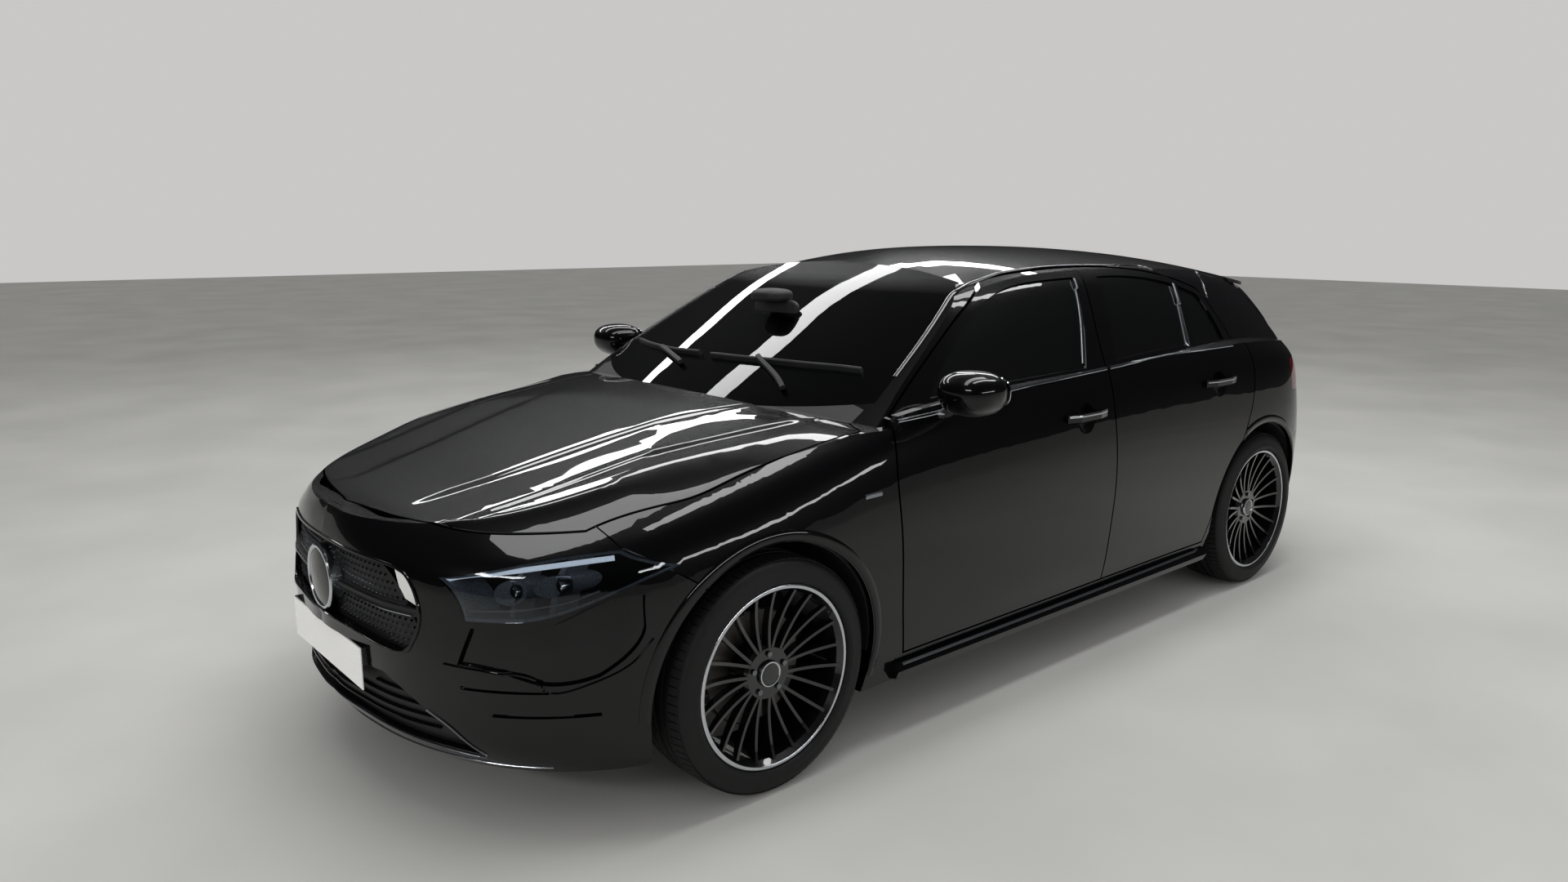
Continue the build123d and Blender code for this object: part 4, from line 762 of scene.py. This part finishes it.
rest_channels = [k / 6 - .5 for k in range(7)]
backs = stuffed("seat_back", pad((-22, 370, 715), (62, 245, 300), -13, rest_channels, .7))
stuffed("seat_base", pad((210, 370, 398), (62, 245, 248), 90, (), -.6))
stuffed("seat_head", pad((-112, 370, 1092), (44, 112, 92), -5, (), .2))
for item in backs:
    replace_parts(item, "front_seats")
bench = stuffed("bench_back", pad((-1165, 0, 735), (55, 590, 285), -16, (), .15), both=False)
stuffed("bench_base", pad((-935, 0, 422), (56, 590, 236), 84, (), -.1), both=False)
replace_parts(bench[0], "rear_bench")
corners = ((-1, -1), (1, -1), (1, 1), (-1, 1))
plinth = [[Vector((x + along * half, 370 + across * 175, z)) / 1000 for along, across in corners]
          for x, half, z in ((130, 190, 192), (130, 185, 260), (140, 215, 340))]
piece("seat_plinth", skin(plinth), grained_plastic, "body")
screen_black, screen_shader = finish("display_glass", "040506", Roughness=0.08, Coat_Weight=1.0)
mottle(screen_black, screen_shader, 30.0, "040506", "060809")
corners = ((470, -38), (470, 46), (-190, 46), (-190, -38))
display = [[Vector((586 + deep * .2, y, 940 + z)) / 1000 for y, z in corners] for deep in (0, 60)]
piece("dash_display", skin(display), screen_black, "body", both=False)

# ---- Number plates ----
# Blank reflective plates of printed aluminium, screwed to the bumpers' flat pads. They have
# no letters.
plate_sheet, plate_shader = finish("blank_plate_sheet", "f2f2f0", Roughness=0.35)
mottle(plate_sheet, plate_shader, 6.0, "efefed", "f6f6f4", (0.3, 0.4))
dress(["number_plates"], plate_sheet)

# ---- Studio ----
# A pale grey floor and wall with long soft panels of light overhead and beside the car. What
# the paint mirrors is mostly dark, so the panels draw crisp streaks along its shoulders.
floor_paint, floor_shader = finish("studio_floor", "a9a9a7", Roughness=0.5, Specular_IOR_Level=0.06)
mottle(floor_paint, floor_shader, 900.0, "a6a6a4", "adadab", (0.46, 0.54))
bpy.ops.mesh.primitive_plane_add(size=60)
floor = bpy.context.object
floor.name = "studio_floor"
floor.data.materials.append(floor_paint)

world = bpy.data.worlds.new("studio_room")
scene.world = world
world.use_nodes = True
room = world.node_tree
wall = room.nodes["Background"]
wall.inputs["Color"].default_value = linear("c9c8c6")
wall.inputs["Strength"].default_value = 1.0
fill = room.nodes.new("ShaderNodeBackground")
fill.inputs["Color"].default_value = linear("dcdbd9")
fill.inputs["Strength"].default_value = 1.0
mirrored_room = room.nodes.new("ShaderNodeBackground")
mirrored_room.inputs["Strength"].default_value = 1.0
heading = room.nodes.new("ShaderNodeTexCoord")
upright = room.nodes.new("ShaderNodeSeparateXYZ")
shade = room.nodes.new("ShaderNodeValToRGB")
for end, where, colour in ((0, 0.0, "1b1b1c"), (1, 1.0, "3c3d3f")):
    shade.color_ramp.elements[end].position = where
    shade.color_ramp.elements[end].color = linear(colour)
rays = room.nodes.new("ShaderNodeLightPath")
by_gloss = room.nodes.new("ShaderNodeMixShader")
by_camera = room.nodes.new("ShaderNodeMixShader")
room.links.new(heading.outputs["Generated"], upright.inputs[0])
room.links.new(upright.outputs["Z"], shade.inputs["Fac"])
room.links.new(shade.outputs[0], mirrored_room.inputs["Color"])
room.links.new(rays.outputs["Is Glossy Ray"], by_gloss.inputs[0])
room.links.new(fill.outputs[0], by_gloss.inputs[1])
room.links.new(mirrored_room.outputs[0], by_gloss.inputs[2])
room.links.new(rays.outputs["Is Camera Ray"], by_camera.inputs[0])
room.links.new(by_gloss.outputs[0], by_camera.inputs[1])
room.links.new(wall.outputs[0], by_camera.inputs[2])
room.links.new(by_camera.outputs[0], room.nodes["World Output"].inputs["Surface"])


def soft_panel(name, place, target, width, height, power):
    """A rectangular soft light that points at a target."""
    light = bpy.data.lights.new(name, "AREA")
    light.shape = "RECTANGLE"
    light.size = width
    light.size_y = height
    light.energy = power
    lamp = bpy.data.objects.new(name, light)
    scene.collection.objects.link(lamp)
    lamp.location = place
    lamp.rotation_euler = (Vector(target) - Vector(place)).to_track_quat("-Z", "Y").to_euler()
    lamp.visible_camera = False


for label, place, target, width, height, power in (
        ("overhead_panel", (0.4, 0.0, 5.2), (0.4, 0.0, 0.0), 7.0, 1.0, 120),
        ("overhead_left_panel", (-1.6, 1.35, 5.2), (-1.6, 1.35, 0.0), 6.5, 0.6, 110),
        ("overhead_right_panel", (-0.6, -3.4, 4.6), (0.0, -0.4, 0.6), 7.0, 0.4, 65),
        ("far_right_panel", (-1.0, -8.0, 5.2), (0.4, 0.0, 0.8), 9.0, 0.35, 110),
        ("rear_panel", (-7.0, -4.0, 5.2), (0.0, 0.0, 0.8), 5.0, 0.4, 75),
        ("front_panel", (7.5, 2.0, 3.6), (1.8, 0.2, 0.6), 3.0, 0.4, 70),
        ("side_panel", (-1.0, 8.0, 2.2), (0.0, 0.6, 0.7), 8.0, 0.3, 90)):
    soft_panel(label, place, target, width, height, power)

# ---- Camera ----
# It stands to the left of the nose at eye height and looks a little down along the side,
# with a short lens that takes in the whole car.
CAMERA_PLACE = Vector((3.108, 2.936, 1.525))
CAMERA_YAW = math.radians(-131.21)
CAMERA_PITCH = math.radians(-11.36)
CAMERA_ROLL = math.radians(0.31)
forward = Vector((math.cos(CAMERA_PITCH) * math.cos(CAMERA_YAW),
                  math.cos(CAMERA_PITCH) * math.sin(CAMERA_YAW), math.sin(CAMERA_PITCH)))
level = forward.cross(Vector((0, 0, 1))).normalized()
upward = level.cross(forward)
side = level * math.cos(CAMERA_ROLL) + upward * math.sin(CAMERA_ROLL)
top = upward * math.cos(CAMERA_ROLL) - level * math.sin(CAMERA_ROLL)
lens = bpy.data.cameras.new("studio_camera")
lens.sensor_width = 36
lens.lens = 24.77
camera = bpy.data.objects.new("studio_camera", lens)
scene.collection.objects.link(camera)
camera.matrix_world = Matrix((
    (side.x, top.x, -forward.x, CAMERA_PLACE.x), (side.y, top.y, -forward.y, CAMERA_PLACE.y),
    (side.z, top.z, -forward.z, CAMERA_PLACE.z), (0, 0, 0, 1)))
scene.camera = camera
